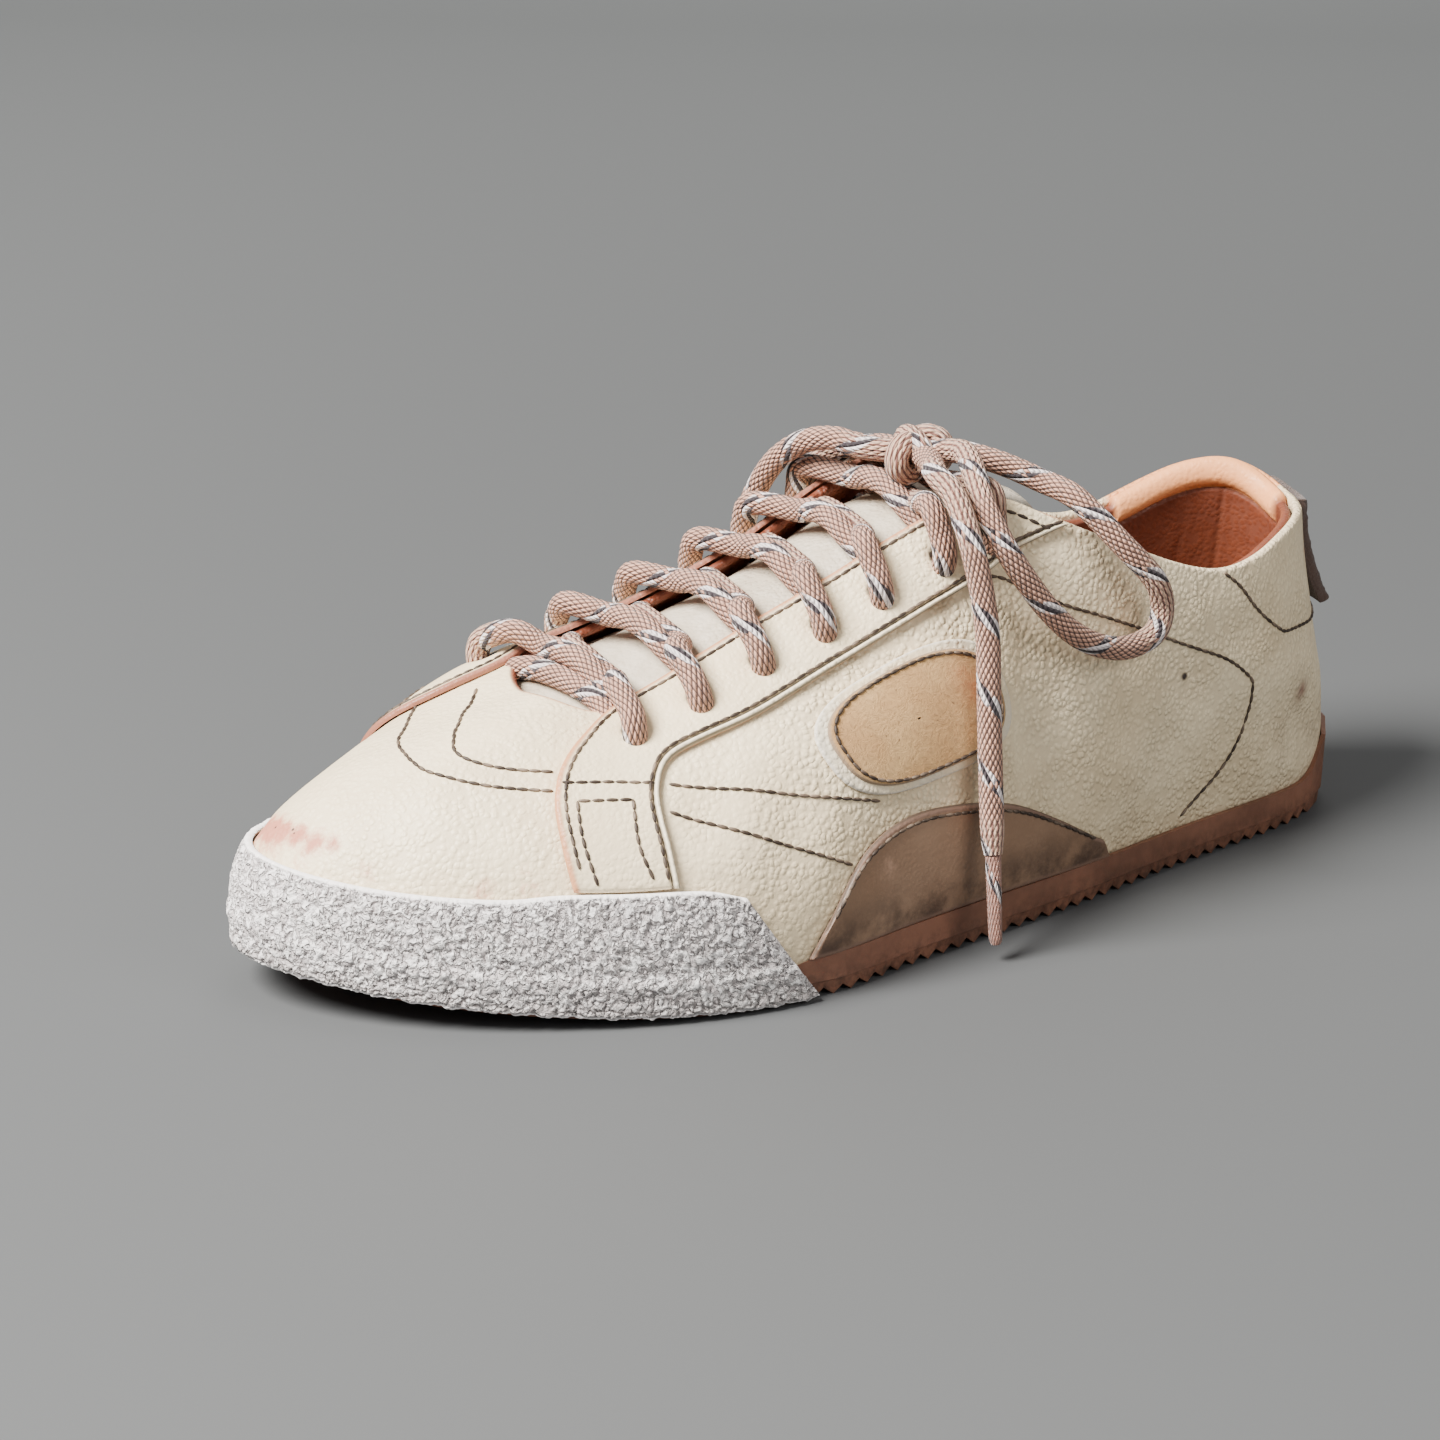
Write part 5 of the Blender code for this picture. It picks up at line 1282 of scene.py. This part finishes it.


# loops and hanging ends as cords, and the knot they come from
def buildBow():
    for name, points, node in (("outerLoop", loopOuter, "lace_loop_outer_side"),
                               ("innerLoop", loopInner, "lace_loop_inner_side")):
        line = route([knot["heart"]] + points + [knot["heart"]], 130)
        piece, length = tubePiece(name, line, last["lace"] / 2, laceFinish)
        ride(piece, [node])
    for name, points, node, tipNode in (("outerEnd", endOuter, "lace_end_outer_side", "lace_tip_outer_side"),
                                        ("innerEnd", endInner, "lace_end_inner_side", "lace_tip_inner_side")):
        coarse = route(points, max(8, int(np.linalg.norm(np.diff(np.array(points), axis=0), axis=1).sum()
                                          / (2.4 * last["lace"]))))
        line = route([knot["heart"]] + points, 100)
        tip = buildTip(name + "Tip", coarse, tipNode)
        narrow = np.ones(len(line))
        narrow[-5:] = (0.97, 0.93, 0.88, 0.83, 0.78)
        piece, length = tubePiece(name, line, last["lace"] / 2, laceFinish, taper=narrow)
        ride(piece, [node])
    centre = np.array(knot["place"])
    turns = np.linspace(0.0, 2 * math.pi, 60, endpoint=False)
    # each wrap of the knot: its two directions, half sizes along them, and its shift
    wraps = [((1.0, 0.25, 0.0), (0.0, 0.1, 1.0), 0.0040, 0.0034, (-0.0030, -0.001, 0.0)),
             ((0.75, -0.65, 0.1), (0.1, 0.1, 1.0), 0.0042, 0.0036, (0.0030, 0.0005, 0.0003)),
             ((0.2, 1.0, 0.15), (-0.35, 0.0, 1.0), 0.0050, 0.0030, (0.0, 0.0, 0.0012))]
    for index, (first, second, wide, high, shift) in enumerate(wraps):
        first = np.array(first) / np.linalg.norm(first)
        second = np.array(second) / np.linalg.norm(second)
        loop = centre + np.array(shift) + np.cos(turns)[:, None] * first * wide
        loop = loop + np.sin(turns)[:, None] * second * high
        loop = np.concatenate([loop, loop[:1]])
        piece, length = tubePiece("knotWrap" + str(index + 1), loop, last["lace"] / 2, laceFinish)
        ride(piece, ["lace_knot"])


buildBow()
print("bow done")

# stitches: Geometry Nodes put one short thread on each marked point
stitch = {"pitch": 0.0025, "length": 0.0029, "width": 0.00088, "height": 0.0008, "lift": 0.00014}


# the tree: a small ball, stretched to a thread's length, turned along each point's way
def stitchTree(material):
    tree = bpy.data.node_groups.new("stitchRow", "GeometryNodeTree")
    tree.interface.new_socket("Geometry", in_out="INPUT", socket_type="NodeSocketGeometry")
    sizes = {}
    for key in ("Length", "Width", "Height"):
        sizes[key] = tree.interface.new_socket(key, in_out="INPUT", socket_type="NodeSocketFloat").identifier
    tree.interface.new_socket("Geometry", in_out="OUTPUT", socket_type="NodeSocketGeometry")
    source = tree.nodes.new("NodeGroupInput")
    ball = addNode(tree, "GeometryNodeMeshUVSphere", None, {"Segments": 8, "Rings": 5, "Radius": 0.5})
    size = addNode(tree, "ShaderNodeCombineXYZ", None, {
        0: source.outputs["Length"], 1: source.outputs["Width"], 2: source.outputs["Height"]})
    shaped = addNode(tree, "GeometryNodeTransform", None, {"Geometry": ball, "Scale": size})
    smooth = addNode(tree, "GeometryNodeSetShadeSmooth", None, {"Geometry": shaped})
    way = addNode(tree, "GeometryNodeInputNamedAttribute", {"data_type": "FLOAT_VECTOR"}, {"Name": "way"})
    stand = addNode(tree, "GeometryNodeInputNamedAttribute", {"data_type": "FLOAT_VECTOR"}, {"Name": "stand"})
    first = addNode(tree, "FunctionNodeAlignRotationToVector", {"axis": "X"}, {"Vector": way})
    second = addNode(tree, "FunctionNodeAlignRotationToVector", {"axis": "Z", "pivot_axis": "X"},
                     {"Rotation": first, "Vector": stand})
    copies = addNode(tree, "GeometryNodeInstanceOnPoints", None, {
        "Points": source.outputs["Geometry"], "Instance": smooth, "Rotation": second})
    real = addNode(tree, "GeometryNodeRealizeInstances", None, {"Geometry": copies})
    painted = addNode(tree, "GeometryNodeSetMaterial", None, {"Geometry": real, "Material": material})
    addNode(tree, "NodeGroupOutput", None, {0: painted})
    return tree, sizes


# rows of stitches; each row is a list of u and h, its stand-off and if it is mirrored
def stitchRows(name, rows, material, nodes, stitch):
    spots, ways, stands = [], [], []
    for line, lift, mirrored in rows:
        weight = np.array([1.0, unitsUp])
        fine = route(np.array(line) * weight, 400) / weight
        fine[:, 1] = np.minimum(fine[:, 1], 0.999)
        u = around - fine[:, 0] if mirrored else fine[:, 0]
        points = over(u, fine[:, 1], lift + stitch["lift"])
        if lift < 0.0004:
            points = points + skinNormal(u, fine[:, 1]) * leatherLift(u, fine[:, 1])[:, None]
        normals = skinNormal(u, fine[:, 1])
        gone = np.concatenate([[0.0], np.cumsum(np.linalg.norm(np.diff(points, axis=0), axis=1))])
        count = max(2, int(gone[-1] / stitch["pitch"]))
        marks = (np.arange(count) + 0.5) * gone[-1] / count
        for kept, values in ((spots, points), (ways, np.gradient(points, axis=0)), (stands, normals)):
            kept.append(np.stack([np.interp(marks, gone, values[:, k]) for k in range(3)], -1))
    spots, ways, stands = (np.concatenate(values) for values in (spots, ways, stands))
    mesh = bpy.data.meshes.new(name + "Points")
    mesh.from_pydata([tuple(map(float, p)) for p in spots], [], [])
    for key, values in (("way", ways), ("stand", stands)):
        values = values / np.linalg.norm(values, axis=1, keepdims=True)
        mesh.attributes.new(key, "FLOAT_VECTOR", "POINT").data.foreach_set(
            "vector", values.astype(np.float32).reshape(-1))
    holder = bpy.data.objects.new(name + "Points", mesh)
    bpy.context.scene.collection.objects.link(holder)
    tree, sizes = stitchTree(material)
    modifier = holder.modifiers.new("stitches", "NODES")
    modifier.node_group = tree
    modifier[sizes["Length"]] = stitch["length"]
    modifier[sizes["Width"]] = stitch["width"]
    modifier[sizes["Height"]] = stitch["height"]
    view = bpy.context.evaluated_depsgraph_get()
    made = bpy.data.meshes.new_from_object(holder.evaluated_get(view), depsgraph=view)
    bpy.data.objects.remove(holder)
    made.name = name
    if not made.materials:
        made.materials.append(material)
    piece = bpy.data.objects.new(name, made)
    bpy.context.scene.collection.objects.link(piece)
    return ride(piece, [])


# line inside the eyestay at a share of its width from the throat side
def insetLine(share, start=0.0, end=1.0):
    first, second = strip(eyestayEdge, 60)
    line = first * (1 - share) + second * share
    low, high = int(start * 59), max(int(end * 59), 2)
    return line[low:high]


# all rows of stitches on the upper, the eyestays and the patches
def buildStitches():
    dark = thread("waxedThread", "#33261d")
    onStay = last["seat"] + last["overlay"]
    rows = []
    # two arcs on the toe, two lines on the side, the quarter's curve and the line under the collar
    vamp = [
        [(12.70, 0.71), (13.38, 0.70), (14.10, 0.70), (14.53, 0.72), (14.90, 0.77), (15.45, 0.83),
         (17.12, 0.89)],
        [(12.58, 0.64), (13.68, 0.63), (14.45, 0.63), (14.88, 0.65), (15.28, 0.67), (16.40, 0.70),
         (18.18, 0.71)],
        [(10.98, 0.65), (10.03, 0.57), (9.12, 0.48), (8.20, 0.39)],
        [(11.0, 0.56), (10.35, 0.48), (9.50, 0.37), (8.68, 0.26)],
        [(6.38, 0.80), (5.25, 0.76), (4.58, 0.75), (3.85, 0.73), (3.15, 0.68), (2.75, 0.57), (2.68, 0.49),
         (2.75, 0.35), (3.0, 0.21), (3.45, 0.08)],
        [(3.05, 0.985), (2.85, 0.93), (2.60, 0.82), (2.30, 0.71), (2.08, 0.66), (1.50, 0.62), (1.12, 0.62),
         (0.5, 0.62), (-0.5, 0.62), (-1.12, 0.62), (-1.50, 0.62), (-2.08, 0.66), (-2.30, 0.71), (-2.60, 0.82),
         (-2.85, 0.93), (-3.05, 0.985)]]
    for line in vamp:
        rows.append((line, 0.0, False))
    for line in vamp[2:5]:
        rows.append((line, 0.0, True))
    stitchRows("upperStitches", rows, dark, [], stitch)
    stays = []
    for mirrored in (False, True):
        stays.append((insetLine(0.90, 0.0, 1.0), onStay, mirrored))
        stays.append((insetLine(0.10, 0.16, 0.99), onStay, mirrored))
        stays.append(([(5.28, 0.950), (5.8, 0.963), (6.3, 0.966)], onStay, mirrored))
        stays.append(([(12.50, 0.66), (11.88, 0.67), (11.22, 0.655)], onStay, mirrored))
        stays.append(([(12.23, 0.60), (11.88, 0.606), (11.55, 0.605)], onStay, mirrored))
        stays.append(([(12.23, 0.60), (12.05, 0.47), (11.80, 0.33)], onStay, mirrored))
        stays.append(([(11.55, 0.605), (11.42, 0.46), (11.20, 0.345)], onStay, mirrored))
    stitchRows("eyestayStitches", stays, dark, [], stitch)
    turns = np.linspace(0.0, 2 * math.pi, 60)
    along = np.sign(np.cos(turns)) * np.abs(np.cos(turns)) ** patch["power"]
    rise = np.sign(np.sin(turns)) * np.abs(np.sin(turns)) ** patch["power"]
    grow = patch["suedeShare"] * 0.93
    border = [(patch["middle"][0] + patch["reach"][0] * (a + patch["lean"] * r) * grow,
               patch["middle"][1] + patch["reach"][1] * r * grow) for a, r in zip(along, rise)]
    foot, top = strip(archEdge, 60)
    arch = (foot * 0.07 + top * 0.93)[2:57]
    stitchRows("patchStitches", [(border, last["seat"] + 0.0016, False), (arch, onStay, False)], dark, [],
               dict(stitch, pitch=0.0023, length=0.0027))


buildStitches()
print("stitches done")
